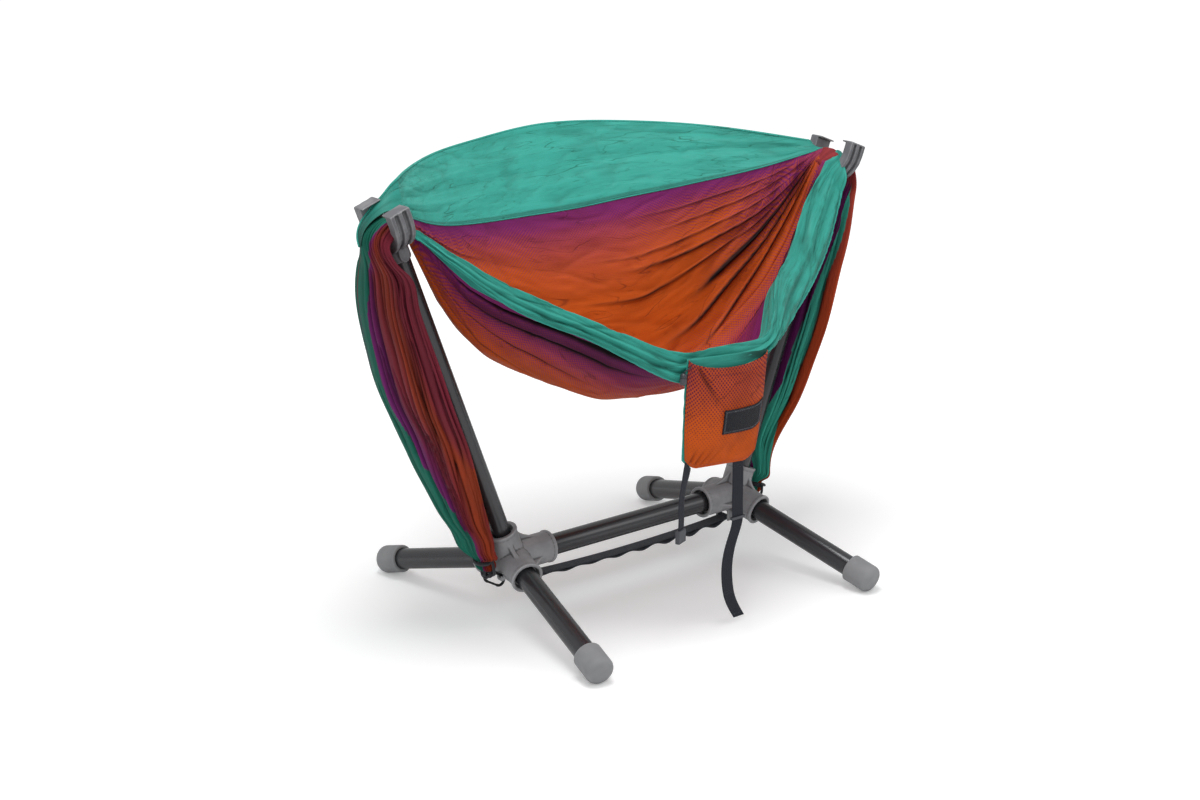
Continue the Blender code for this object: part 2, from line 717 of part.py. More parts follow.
def build_tension_strap():
    """Webbing with stitched loops under the spine, its sewn ends round the hub bars."""
    reach = HUB_SPACING / 2 - BAR_INSET
    bar_z = HUB_HEIGHT - BAR_DROP
    wrap = BAR_RADIUS + FIT
    ends = reach - wrap - WEBBING_THICKNESS

    def base(x):
        return bar_z - STRAP_SAG * (1 - (x / reach) ** 2)

    def cell(x):
        return (x + ends) / (2 * ends) * STRAP_LOOPS

    def bulge(x):
        share = cell(x) % 1.0
        return STRAP_LOOP_DEPTH * math.sin(math.pi * share) ** 2

    def points(count, height):
        xs = [-ends + 2 * ends * i / count for i in range(count + 1)]
        return [(x, height(x)) for x in xs]

    half = WEBBING_THICKNESS / 2
    upper = points(STRAP_LOOPS, lambda x: base(x) + half)
    lower = points(STRAP_LOOPS * 5, lambda x: base(x) - WEBBING_THICKNESS - bulge(x))
    radius = wrap + WEBBING_THICKNESS
    right_end = arc(reach, bar_z, radius, -150, 150, 11)
    left_end = arc(-reach, bar_z, radius, 30, 330, 11)
    outline = lower[1:-1] + right_end + upper[::-1][1:-1] + left_end
    holes = [arc(x, bar_z, wrap, 0, 330, 12) for x in (-reach, reach)]
    for i in range(STRAP_LOOPS):
        shares = [0.24 + 0.52 * k / 4 for k in range(5)]
        xs = [-ends + 2 * ends * (i + share) / STRAP_LOOPS for share in shares]
        top = [(x, base(x) - half) for x in xs]
        low = [(x, base(x) - bulge(x)) for x in xs]
        holes.append(top + [point for point in low[::-1] if point not in top])
    frame = axes_matrix((0, 0, 0), (1, 0, 0), (0, 0, 1), (0, -1, 0))
    strap = plate("tension_strap", [outline] + holes, WEBBING_WIDTH, frame)
    finish(strap, "tension_strap", WEBBING)


def build_carabiner(label, side):
    """Oval wire ring through the hub's eye, its gate on the lower side."""
    centre = hub_centre(side)
    down, out = eye_frame(side)
    half_width = CARABINER_WIDTH / 2
    inner = half_width - CARABINER_WIRE
    strip = EYE_DISTANCE + EYE_RADIUS
    axis_distance = EYE_DISTANCE + half_width
    corner = axis_distance - strip
    start = math.sqrt(inner**2 - corner**2) - WEB_THICKNESS * 1.02 / 2 - FIT
    frame = axes_matrix(centre + down * axis_distance + out * start, down, out, down.cross(out))
    straight = CARABINER_STRAIGHT
    gate_start = (straight - GATE_LENGTH) / 2
    path = [(half_width, gate_start - GATE_HINGE_GAP)]
    path += arc(0, 0, half_width, 0, -180, 11)
    path += arc(0, straight, half_width, 180, 0, 11)
    path.append((half_width, gate_start + GATE_LENGTH + FIT))
    name = f"{label}_carabiner"
    ring = wire(name, [(x, y, 0) for x, y in path], CARABINER_WIRE, frame)
    finish(ring, name, BLACK_METAL)

    gate = wire(
        name + "_gate",
        [(half_width, gate_start, 0), (half_width, gate_start + GATE_LENGTH, 0)],
        GATE_WIRE, frame,
    )
    finish(gate, name + "_gate", BLACK_METAL)
    return frame @ Vector((0, straight + inner - CORD_RADIUS - FIT, 0))


def build_gather_cord(label, side, ring_point):
    """Cord loop from the carabiner, up both sides of the gathered end and round its neck."""
    neck_axis = UPRIGHT_TUBE_RADIUS + NECK[1] + NECK[4]
    bulb_axis = UPRIGHT_TUBE_RADIUS + BULB[1] + BULB[4]
    clear = CORD_RADIUS + 2 * FIT
    bulb_side = BULB[3] + clear
    sides = ((BULB[0] - 0.014, bulb_side * 0.8), (BULB[0], bulb_side))
    points = [tuple(ring_point)]
    for distance, y in sides:
        points.append(tuple(upright_point(side, distance, bulb_axis, y)))
    for i in range(9):
        angle = math.radians(90 - 180 * i / 8)
        width = NECK[3] + CORD_RADIUS + COLLAR_CLEARANCE
        depth = NECK[4] + CORD_RADIUS + COLLAR_CLEARANCE
        offset = neck_axis + depth * math.cos(angle)
        collar = NECK[0] + COLLAR_RISE
        points.append(tuple(upright_point(side, collar, offset, width * math.sin(angle))))
    for distance, y in sides[::-1]:
        points.append(tuple(upright_point(side, distance, bulb_axis, -y)))
    closed = np.asarray(points + [points[0]])
    line = through(closed, 29)[:-1]
    name = f"{label}_gather_cord"
    cord = wire(name, [tuple(point) for point in line], CORD_RADIUS, closed=True)
    finish(cord, name, BLACK_CORD)


def cloth_line(table):
    """An edge of the seat cloth at every column."""
    knots = [row[0] for row in table]
    points = [
        (row[0] * SEAT_HALF_SPAN, row[1], SADDLE_HEIGHT - row[2]) for row in table
    ]
    spread = np.linspace(-1, 1, len(knots))
    columns = np.interp(SEAT_COLUMNS, [row[0] for row in RIM], spread)
    return smooth_line(spread, points, columns)


def bulged(first, second, share, side):
    """Point between two edges, pushed out of the bowl."""
    middle = (first + second) / 2
    chord = second - first
    push = np.cross(chord, np.array([1.0, 0.0, 0.0])) * share * side
    return middle + push


def seat_grid():
    """Rows of the seat cloth from the front hem to the rear hem, and the two seam rows."""
    rim, hem = cloth_line(RIM), cloth_line(FRONT_HEM)
    bottom, seam, rear = cloth_line(BOTTOM), cloth_line(REAR_SEAM), cloth_line(REAR_HEM)
    belly = bulged(rim, bottom, BELLY_BULGE, 1)
    back = bulged(bottom, seam, BACK_BULGE, 1)
    columns = len(SEAT_COLUMNS)
    front_rows, centre_rows, rear_rows = 10, 4 * PLEATS + 1, 7
    rows = []
    for c in range(columns):
        inward = belly[c] - rim[c]
        inward /= np.linalg.norm(inward)
        outward = hem[c] - rim[c]
        drop = np.linalg.norm(outward)
        outward /= drop
        depth = FRONT_SEAM_DEPTH * min(1.0, 0.3 + drop / 0.06)
        depth = min(depth, np.linalg.norm(belly[c] - rim[c]) * 0.6)
        front_seam = rim[c] + inward * depth
        arm = 0.007
        outer = rim[c] + outward * arm
        inner = rim[c] + inward * arm
        half = (hem[c] + outer) / 2
        outside = through([hem[c], half, outer], 6)[:-1]
        bend = through([outer, rim[c], inner], 4)
        inside = through([inner, front_seam], 2)[1:]
        front = np.vstack([outside, bend, inside])
        middle = through([front_seam, belly[c], bottom[c], back[c], seam[c]], centre_rows)
        behind = through([seam[c], (seam[c] + rear[c]) / 2, rear[c]], rear_rows)
        rows.append(np.vstack([front, middle[1:], behind[1:]]))
    grid = np.stack(rows, axis=1)
    first_seam = front_rows - 1
    second_seam = first_seam + centre_rows - 1
    return fold_cloth(grid, first_seam, second_seam), first_seam, second_seam


def fold_cloth(grid, first_seam, second_seam):
    """Adds the pleats that run out of the yokes and the creases of the rolled front band."""
    normals = grid_normals(grid)
    shares = np.asarray(SEAT_COLUMNS)
    distance = 1 - np.abs(shares)
    depth = np.where(shares < 0, LEFT_PLEAT_DEPTH, RIGHT_PLEAT_DEPTH)
    swell = distance / PLEAT_PEAK * np.exp(1 - distance / PLEAT_PEAK)
    depth = depth * (0.15 + 0.85 * swell)
    across = (np.arange(second_seam - first_seam + 1)) / (second_seam - first_seam)
    wave = 1 - np.cos(2 * math.pi * PLEATS * across)
    wave *= np.minimum(1, np.minimum(across, 1 - across) * PLEATS) ** 2
    lift = np.zeros(grid.shape[:2])
    lift[first_seam : second_seam + 1] = wave[:, None] * depth[None, :]
    crease = np.array([0.0, 1.0, -1.0, 1.0, -0.6])
    fade = np.minimum(1, distance / 0.06)
    lift[1:6] += crease[:, None] * BAND_CREASE * fade[None, :]
    behind = np.array([0.0, 0.6, -0.6, 0.7, -0.5, 0.0])
    lift[second_seam + 1 :] += behind[:, None] * REAR_CREASE * fade[None, :]
    return grid + normals * lift[..., None]


def seam_shift(grid, seam, way):
    """How far a panel's edge stands back from a seam: more where the cloth folds sharply there."""
    before, after = grid[seam] - grid[seam - 1], grid[seam + 1] - grid[seam]
    bend = np.arccos(np.clip(np.sum(unit(before) * unit(after), axis=1), -1, 1))
    gap = SEAM_GAP + CLOTH_THICKNESS * np.tan(np.minimum(bend, 2.2) / 2)
    inward = grid[seam + way] - grid[seam]
    room = np.linalg.norm(inward, axis=1)
    return inward / room[:, None] * np.minimum(gap / 2, room * 0.7)[:, None]


def build_seat():
    grid, first_seam, second_seam = seat_grid()
    strips = (
        ("seat_front_panel", 0, first_seam, GREEN_CLOTH),
        ("seat_center_panel", first_seam, second_seam, PRINTED_CLOTH),
        ("seat_rear_panel", second_seam, grid.shape[0] - 1, GREEN_CLOTH),
    )
    for name, first, last, material in strips:
        piece = grid[first : last + 1].copy()
        if first > 0:
            piece[0] += seam_shift(grid, first, 1)
        if last < grid.shape[0] - 1:
            piece[-1] += seam_shift(grid, last, -1)
        finish(sheet(name, piece, CLOTH_THICKNESS), name, material)


def gathered_rings():
    """Centre (along the upright, outwards, y), half sizes and turn of each ring of the bundle."""
    rows = []
    for offset, rise, y, width, depth, turn in OVER_YOKE:
        angle = math.radians(turn)
        centre = SADDLE_DISTANCE + rise + depth * math.cos(angle)
        shift = depth * math.sin(angle) if turn > 0 else 0.0
        half_width = width * PRONG_INNER
        rows.append((centre, offset * YOKE_WIDTH + shift * 0.4, y, half_width, depth, turn))
    for share, clear, y, width, depth in DOWN_UPRIGHT:
        rows.append((share * SADDLE_DISTANCE, UPRIGHT_TUBE_RADIUS + clear + depth, y, width, depth, 90.0))
    for distance, clear, y, width, depth in LOWER_END:
        rows.append((distance, UPRIGHT_TUBE_RADIUS + clear + depth, y, width, depth, 90.0))
    return np.asarray(rows)


def build_gathered_end(label, side):
    """Bundle of cloth over the saddle and down outside the upright, with lengthwise folds."""
    table = gathered_rings()
    count = 5 * END_LOBES
    steps = np.linalg.norm(np.diff(table[:, :3], axis=0), axis=1)
    knots = np.concatenate([[0.0], np.cumsum(steps)])
    first, last = len(OVER_YOKE), len(OVER_YOKE) + len(DOWN_UPRIGHT)
    extra = (knots[first : last - 1] + knots[first + 1 : last]) / 2
    samples = np.sort(np.concatenate([knots, extra]))
    rings = []
    direction = np.asarray(upright_direction(side))
    outwards = np.array([side * direction[2], 0.0, -side * direction[0]])
    for sample, row in zip(samples, smooth_line(knots, table, samples)):
        along_upright, offset, y, width, depth, turn = row
        centre = np.asarray(upright_point(side, along_upright, offset, y))
        turn = math.radians(min(turn, 90.0))
        facing = direction * math.cos(turn) + outwards * math.sin(turn)
        fade = min(1.0, sample / 0.12, (knots[-1] - sample) / 0.05)
        ring = []
        for k in range(count):
            angle = 2 * math.pi * k / count
            fold = 0.5 - 0.5 * math.cos(END_LOBES * (angle - math.pi / 2))
            scale = 1 - END_GROOVE * fade * fold
            sideways = np.array([0.0, width * math.sin(angle) * scale, 0.0])
            ring.append(tuple(centre + sideways + facing * depth * math.cos(angle) * scale))
        rings.append(ring)
    name = f"{label}_gathered_end"
    finish(loft(name, rings), name, PRINTED_CLOTH)


def pouch_place(across, down, bulge):
    """Point on the pouch: across from -0.5 to 0.5, down from 0 to 1, standing out by bulge."""
    face = FRONT_HEM[5][1] - CLOTH_THICKNESS - POUCH_CLOTH / 2
    sideways = across * POUCH_WIDTH * (1 - 0.10 * down**3)
    corner = max(0.0, abs(across) - 0.32) / 0.18
    drop = down * (POUCH_HEIGHT - POUCH_CORNER * corner**2)
    tilt = math.radians(POUCH_TILT)
    x = POUCH_CENTRE + sideways * math.cos(tilt) - drop * math.sin(tilt)
    z = SADDLE_HEIGHT - POUCH_DROP - sideways * math.sin(tilt) - drop * math.cos(tilt)
    return (x, face - bulge, z)


def pouch_front_point(across, down, lift=0.0):
    """Point on the pouch's full front wall, whose mouth sags between its corners."""
    middle = max(0.0, math.cos(math.pi * across))
    dip = POUCH_MOUTH_DIP * middle**0.5 * (1 - down) ** 2
    fullness = middle**0.8 * max(0.0, math.sin(math.pi * (0.12 + 0.88 * down))) ** 0.7
    seat = POUCH_CLOTH + FIT + lift
    x, y, z = pouch_place(across, down, seat + POUCH_BULGE * fullness)
    return (x, y, z - dip)


def build_pouch():
    front = np.array([[pouch_front_point(c / 10 - 0.5, r / 8) for c in range(11)] for r in range(9)])
    finish(sheet("pouch_front", front, POUCH_CLOTH), "pouch_front", PRINTED_CLOTH)

    back = np.array([[pouch_place(c / 8 - 0.5, r / 6, 0.0) for c in range(9)] for r in range(7)])
    finish(sheet("pouch_back", back, POUCH_CLOTH), "pouch_back", GREEN_CLOTH)

    patch = np.zeros((4, 6, 3))
    right = 0.5 - PATCH_MARGIN / POUCH_WIDTH
    lift = POUCH_CLOTH / 2 + PATCH_THICKNESS / 2 + 2 * FIT
    for r in range(4):
        for c in range(6):
            across = right - PATCH_WIDTH / POUCH_WIDTH * (1 - c / 5)
            down = (PATCH_DROP + PATCH_HEIGHT * r / 3) / POUCH_HEIGHT
            patch[r, c] = pouch_front_point(across, down, lift)
    finish(sheet("pouch_patch", patch, PATCH_THICKNESS), "pouch_patch", PATCH_WEAVE)

    x, y, z = pouch_place(-0.5, LOCK_DROP, 0)
    radius = LOCK_RADIUS
    top, low = LOCK_LENGTH * 0.45, LOCK_LENGTH * -0.55
    dome = [(radius * math.cos(a), top - radius * (1 - math.sin(a))) for a in (1.0, 0.5, 0.0)]
    profile = [(0, top)] + dome + [(radius, low + 0.002), (radius * 0.6, low), (0, low)]
    lean = Matrix.Rotation(math.radians(POUCH_TILT), 4, "Y")
    place = Matrix.Translation((x - radius - 2 * FIT, y, z)) @ lean
    finish(turned("pouch_cord_lock", profile, place, 16), "pouch_cord_lock", BLACK_PLASTIC)


def ribbon(name, line, width, thickness, axes):
    """Webbing along a line of points, with its width along each point's own axis."""
    half = np.asarray(axes, float) * width / 2
    grid = np.stack([line - half, line + half], axis=1)
    return finish(sheet(name, grid, thickness), name, WEBBING)


def build_pouch_straps():
    """Two webbing straps that hang from the pouch's lower edge."""
    x, y, z = pouch_front_point(-0.45, 1.0)
    top = z
    drop = SHORT_STRAP_DROP
    line = through(
        [(x, y, top), (x - 0.008, y - 0.001, top - drop * 0.25), (x - 0.015, y - 0.003, top - drop * 0.60),
         (x - 0.015, y - 0.002, top - drop)], 7
    )
    facing = np.array([0.94, 0.34, 0.0])
    edge = unit(np.subtract(pouch_front_point(-0.41, 1.0), pouch_front_point(-0.49, 1.0)))
    axes = [unit(edge * share + facing * (1 - share)) for share in (1, 0.5, 0, 0, 0, 0, 0)]
    ribbon("short_strap", line, SHORT_STRAP_WIDTH, WEBBING_THICKNESS, axes)
    end = line[-1]
    half = BUCKLE_THICKNESS / 2
    buckle = box("buckle", (-BUCKLE_WIDTH / 2, -half, -BUCKLE_LENGTH), (BUCKLE_WIDTH / 2, half, 0))
    slot = BUCKLE_SLOT_WIDTH / 2
    for slot_x in (-BUCKLE_WIDTH * 0.3, BUCKLE_WIDTH * 0.3):
        low = (slot_x - slot, -slot, -BUCKLE_LENGTH * 1.3)
        high = (slot_x + slot, slot, BUCKLE_SLOT_LENGTH - BUCKLE_LENGTH)
        boolean(buckle, box(f"buckle slot {slot_x}", low, high), "DIFFERENCE")
    apply_cuts(buckle)
    turn = Matrix.Rotation(math.atan2(0.34, 0.94), 4, "Z")
    buckle.matrix_world = Matrix.Translation((end[0], end[1], end[2] - FIT)) @ turn
    finish(buckle, "strap_buckle_half", BLACK_PLASTIC)

    x, y, z = pouch_front_point(0.27, 1.0)
    top = z - 3 * FIT
    drop = LONG_STRAP_DROP
    line = through(
        [(x, y, top), (x, y - 0.0005, top - drop * 0.10), (x, y - 0.001, top - drop * 0.20),
         (x, y - 0.0015, top - drop * 0.29), (x, y - 0.002, top - drop * 0.37),
         (x - 0.012, y - 0.004, top - drop * 0.47), (x - 0.024, y - 0.005, top - drop * 0.62),
         (x - 0.022, y - 0.004, top - drop * 0.74), (x - 0.014, y - 0.002, top - drop * 0.84),
         (x + 0.014, y + 0.002, top - drop)], 16
    )
    edge = unit(np.subtract(pouch_front_point(0.30, 1.0), pouch_front_point(0.24, 1.0)))
    axes = [edge] + [(1.0, 0.0, 0.0)] * (len(line) - 1)
    ribbon("long_strap", line, WEBBING_WIDTH, WEBBING_THICKNESS, axes)
    hole_half = WEBBING_WIDTH / 2 + 3 * FIT
    half = WEBBING_THICKNESS / 2 + 2 * FIT
    hole = [(-hole_half, -half), (hole_half, -half), (hole_half, half), (-hole_half, half)]
    wide, deep = hole_half + SLIDER_BAR, half + SLIDER_BAR
    outline = [(-wide, -deep), (wide, -deep), (wide, deep), (-wide, deep)]
    place = Matrix.Translation(tuple(line[5]))
    slider = plate("strap_slider", [outline, hole], SLIDER_HEIGHT, place)
    finish(slider, "strap_slider", BLACK_PLASTIC)


clear_scene()
PARTS = new_collection("Hammock with stand")
CUTTERS = new_collection("Cutters")
HUB_PLASTIC = new_material("Grey moulded plastic", (0.22, 0.22, 0.23), 0.5)
CAP_RUBBER = new_material("Grey soft cap", (0.21, 0.21, 0.22), 0.55)
TUBE_METAL = new_material("Dark anodised tube", (0.07, 0.075, 0.08), 0.28, 0.9)
WEBBING = new_material("Slate webbing", (0.035, 0.04, 0.05), 0.8)
BLACK_METAL = new_material("Black wire", (0.015, 0.015, 0.017), 0.35, 0.6)
BLACK_CORD = new_material("Black cord", (0.012, 0.012, 0.014), 0.8)
BLACK_PLASTIC = new_material("Black moulded plastic", (0.03, 0.032, 0.036), 0.45)
GREEN_CLOTH = new_material("Green ripstop cloth", (0.035, 0.34, 0.25), 0.6)
PRINTED_CLOTH = new_material("Orange printed cloth", (0.5, 0.09, 0.02), 0.65)
PATCH_WEAVE = new_material("Bare woven patch", (0.03, 0.032, 0.04), 0.75)

for side_label, side_sign in SIDES:
    build_hub(side_label, side_sign)
    build_yoke(side_label, side_sign)
    hook = build_carabiner(side_label, side_sign)
    build_gather_cord(side_label, side_sign, hook)
    build_gathered_end(side_label, side_sign)
    for end_label, end_sign in ENDS:
        build_leg(side_label, side_sign, end_label, end_sign)
build_frame_tubes()
build_tension_strap()
build_seat()
build_pouch()
build_pouch_straps()
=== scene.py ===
import math
import bmesh
import bpy
import numpy as np
from mathutils import Matrix, Vector


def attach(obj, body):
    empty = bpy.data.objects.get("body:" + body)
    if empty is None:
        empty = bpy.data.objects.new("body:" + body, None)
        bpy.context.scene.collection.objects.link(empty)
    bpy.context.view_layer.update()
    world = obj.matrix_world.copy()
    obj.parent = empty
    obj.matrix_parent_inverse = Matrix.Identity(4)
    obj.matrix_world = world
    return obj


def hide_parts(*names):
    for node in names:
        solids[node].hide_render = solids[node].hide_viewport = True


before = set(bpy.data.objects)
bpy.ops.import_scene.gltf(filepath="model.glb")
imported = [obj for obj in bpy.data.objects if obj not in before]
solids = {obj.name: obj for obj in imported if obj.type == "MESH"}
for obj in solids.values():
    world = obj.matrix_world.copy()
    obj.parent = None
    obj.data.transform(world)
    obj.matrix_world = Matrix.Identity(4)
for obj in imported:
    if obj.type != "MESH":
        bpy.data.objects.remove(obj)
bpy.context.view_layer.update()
scene = bpy.context.scene
print("frame loaded,", len(solids), "solids")

# camera
cameraLook = {
    "place": (-2.19867, -2.61362, 1.40202), "yaw": 0.6848, "pitch": 0.2992, "roll": 0.0065,
    "lens": 59.785, "sensor": 36,
}


def makeCamera(look):
    yaw, pitch, roll = look["yaw"], look["pitch"], look["roll"]
    ahead = Vector((math.sin(yaw) * math.cos(pitch), math.cos(yaw) * math.cos(pitch), -math.sin(pitch)))
    level = Vector((math.cos(yaw), -math.sin(yaw), 0))
    above = level.cross(ahead)
    right = level * math.cos(roll) + above * math.sin(roll)
    up = above * math.cos(roll) - level * math.sin(roll)
    camera = bpy.data.objects.new("camera", bpy.data.cameras.new("camera"))
    camera.data.lens = look["lens"]
    camera.data.sensor_width = look["sensor"]
    turn = Matrix((right, up, -ahead)).transposed().to_4x4()
    camera.matrix_world = Matrix.Translation(look["place"]) @ turn
    scene.collection.objects.link(camera)
    scene.camera = camera


makeCamera(cameraLook)

# curves and grids
noiseCells, noiseShift = 64, 200.0  # the shift keeps places on the lattice positive
mergeDistance = 1e-6


def smoothLine(knots, points, samples):  # natural cubic through the points
    knots, points, samples = (np.asarray(v, float) for v in (knots, points, samples))
    count = len(knots)
    step = np.diff(knots)
    system = np.eye(count)
    right = np.zeros((count, points.shape[1]))
    for i in range(1, count - 1):
        system[i, i - 1:i + 2] = (step[i - 1], 2 * (step[i - 1] + step[i]), step[i])
        right[i] = 6 * ((points[i + 1] - points[i]) / step[i] - (points[i] - points[i - 1]) / step[i - 1])
    bend = np.linalg.solve(system, right)
    index = np.clip(np.searchsorted(knots, samples, side="right") - 1, 0, count - 2)
    width = step[index][:, None]
    before = (samples - knots[index])[:, None]
    after = width - before
    curve = (bend[index] * after ** 3 + bend[index + 1] * before ** 3) / (6 * width)
    curve += (points[index] / width - bend[index] * width / 6) * after
    curve += (points[index + 1] / width - bend[index + 1] * width / 6) * before
    return curve


def lengthsAlong(points):  # running length at each point
    return np.concatenate([[0.0], np.cumsum(np.linalg.norm(np.diff(points, axis=0), axis=1))])


def through(points, count):
    points = np.asarray(points, float)
    lengths = lengthsAlong(points)
    return smoothLine(lengths / lengths[-1], points, np.linspace(0, 1, count))


def unit(vectors):
    return vectors / np.maximum(np.linalg.norm(vectors, axis=-1, keepdims=True), 1e-12)


def gridNormals(grid):
    return unit(np.cross(np.gradient(grid, axis=1), np.gradient(grid, axis=0)))


def ease(value, low, high):
    share = np.clip((value - low) / (high - low), 0, 1)
    return share * share * (3 - 2 * share)


def clothNoise(x, y, seed):  # smooth noise from -1 to 1 on a seeded lattice
    lattice = np.random.RandomState(seed).uniform(-1, 1, (noiseCells, noiseCells))
    x, y = np.asarray(x) + noiseShift, np.asarray(y) + noiseShift
    left, low = np.floor(x).astype(int), np.floor(y).astype(int)
    fx, fy = ease(x - left, 0, 1), ease(y - low, 0, 1)
    right, high = (left + 1) % noiseCells, (low + 1) % noiseCells
    left, low = left % noiseCells, low % noiseCells
    lower = lattice[left, low] * (1 - fx) + lattice[right, low] * fx
    upper = lattice[left, high] * (1 - fx) + lattice[right, high] * fx
    return lower * (1 - fy) + upper * fy


def ridges(x, y, seed, narrow=4.2, sharp=1.6):  # creases, 0 on flat cloth and down to -1
    return -np.clip(1 - np.abs(clothNoise(x, y, seed)) * narrow, 0, 1) ** sharp


def arcLengths(grid):  # lengths in metres along rows and along columns, from the middle
    across, down = (np.linalg.norm(np.diff(grid, axis=way), axis=2) for way in (1, 0))
    rows = np.pad(np.cumsum(across, axis=1), ((0, 0), (1, 0)))
    columns = np.pad(np.cumsum(down, axis=0), ((1, 0), (0, 0)))
    rows -= rows[:, rows.shape[1] // 2][:, None]
    columns -= columns[columns.shape[0] // 2][None, :]
    return rows, columns


def makeObject(name, mesh):
    thing = bpy.data.objects.new(name, mesh)
    scene.collection.objects.link(thing)
    return thing


def meshFrom(name, points, edges=(), faces=()):
    mesh = bpy.data.meshes.new(name)
    mesh.from_pydata(points, edges, faces)
    mesh.update()
    return mesh


def cleaned(thing, merge=True):  # doubles merged and faces turned outwards
    work = bmesh.new()
    work.from_mesh(thing.data)
    if merge:
        bmesh.ops.remove_doubles(work, verts=work.verts, dist=mergeDistance)
    bmesh.ops.recalc_face_normals(work, faces=work.faces)
    work.to_mesh(thing.data)
    work.free()
    return thing


def gridMesh(name, grid, around=False, capped=False, uvs=None, tints=None, values=None):
    rows, columns = grid.shape[:2]
    index = np.arange(rows * columns).reshape(rows, columns)
    across = np.concatenate([index, index[:, :1]], axis=1) if around else index
    corners = (across[:-1, :-1], across[:-1, 1:], across[1:, 1:], across[1:, :-1])
    quads = np.stack(corners, axis=-1).reshape(-1, 4)
    points, faces = grid.reshape(-1, 3), quads.tolist()
    if capped:
        points = np.vstack([points, points[index[0]].mean(axis=0), points[index[-1]].mean(axis=0)])
        first, last = rows * columns, rows * columns + 1
        for c in range(columns):
            n = (c + 1) % columns
            faces.append((int(index[0, n]), int(index[0, c]), first))
            faces.append((int(index[-1, c]), int(index[-1, n]), last))
    mesh = meshFrom(name, points.tolist(), [], faces)

    def perPoint(amounts):  # one row for each point, with the middles of the caps
        flat = np.asarray(amounts).reshape(rows * columns, -1)
        return np.vstack([flat, flat[:1], flat[-1:]]) if capped else flat

    loopPoints = np.zeros(len(mesh.loops), np.int32)
    mesh.loops.foreach_get("vertex_index", loopPoints)
    for layerName, (u, v) in (uvs or {}).items():
        layer = mesh.uv_layers.new(name=layerName)
        corner = perPoint(np.stack([u, v], axis=-1))[loopPoints].astype(np.float32)
        if around:  # the last column of faces runs on instead of back to the start
            turns = corner[:len(quads) * 4].reshape(-1, 4, 2)[..., 0]
            span = float(np.max(u) - np.min(u))
            wrapped = turns.max(axis=1) - turns.min(axis=1) > span * 0.5
            low = turns < np.min(u) + span * 0.5
            turns += (wrapped[:, None] & low) * (span * columns / (columns - 1))
        layer.data.foreach_set("uv", corner.ravel())
    for tintName, colours in (tints or {}).items():
        layer = mesh.color_attributes.new(tintName, "FLOAT_COLOR", "POINT")
        flat = np.pad(perPoint(colours), ((0, 0), (0, 1)), constant_values=1.0)
        layer.data.foreach_set("color", flat.astype(np.float32).ravel())
    for valueName, amounts in (values or {}).items():
        layer = mesh.attributes.new(valueName, "FLOAT", "POINT")
        layer.data.foreach_set("value", perPoint(amounts).astype(np.float32).ravel())
    mesh.shade_smooth()
    return makeObject(name, mesh)


def bakeModifiers(thing):
    bpy.context.view_layer.update()
    shaped = thing.evaluated_get(bpy.context.evaluated_depsgraph_get())
    mesh = bpy.data.meshes.new_from_object(shaped)
    thing.modifiers.clear()
    thing.data = mesh
    return thing


def addModifier(thing, kind, **settings):
    modifier = thing.modifiers.new(kind.lower(), kind)
    for label, value in settings.items():
        setattr(modifier, label, value)


def thicken(thing, thickness):
    addModifier(thing, "SOLIDIFY", thickness=thickness, offset=0.0)
    return bakeModifiers(thing)


def tubeAlong(name, path, radius, segments=16, closed=False, flatten=1.0):
    path = np.asarray(path, float)
    count = len(path)
    ways = np.roll(path, -1, axis=0) - np.roll(path, 1, axis=0) if closed else np.gradient(path, axis=0)
    tangents = unit(ways)
    side = np.cross(tangents[0], (0.0, 0.0, 1.0))
    if np.linalg.norm(side) < 0.1:
        side = np.cross(tangents[0], (0.0, 1.0, 0.0))
    sides = [unit(side)]
    for tangent in tangents[1:]:
        sides.append(unit(sides[-1] - tangent * np.dot(sides[-1], tangent)))
    sides = np.array(sides)
    if closed:  # spread the twist so that the ring meets itself
        last = unit(sides[-1] - tangents[0] * np.dot(sides[-1], tangents[0]))
        twist = math.atan2(np.dot(np.cross(sides[0], last), tangents[0]), np.dot(sides[0], last))
        for i in range(count):
            turn = Matrix.Rotation(-twist * i / count, 3, Vector(tangents[i]))
            sides[i] = turn @ Vector(sides[i])
    others = np.cross(tangents, sides)
    radii = np.broadcast_to(np.asarray(radius, float), (count,))
    angles = np.linspace(0, 2 * math.pi, segments, endpoint=False)
    ring = sides[:, None] * np.cos(angles)[:, None] + others[:, None] * np.sin(angles)[:, None] * flatten
    grid = path[:, None] + ring * radii[:, None, None]
    lengths = lengthsAlong(path)
    if closed:
        grid = np.concatenate([grid, grid[:1]], axis=0)
        lengths = np.append(lengths, lengths[-1] + np.linalg.norm(path[0] - path[-1]))
    u = np.broadcast_to(angles / (2 * math.pi), grid.shape[:2])
    v = np.broadcast_to(lengths[:, None], grid.shape[:2])
    thing = gridMesh(name, grid, around=True, capped=not closed, uvs={"lay": (u, v)})
    return cleaned(thing, merge=closed)


def lathe(name, profile, place, segments=96):
    profile = np.asarray(profile, float)
    angles = np.linspace(0, 2 * math.pi, segments, endpoint=False)
    radii, heights = profile[:, :1], np.repeat(profile[:, 1:], segments, axis=1)
    grid = np.stack([radii * np.cos(angles), radii * np.sin(angles), heights], axis=-1)
    u = np.broadcast_to(angles / (2 * math.pi), heights.shape)
    v = np.broadcast_to(lengthsAlong(profile)[:, None], heights.shape)
    thing = cleaned(gridMesh(name, grid, around=True, uvs={"lay": (u, v)}))
    thing.data.transform(place)
    return thing


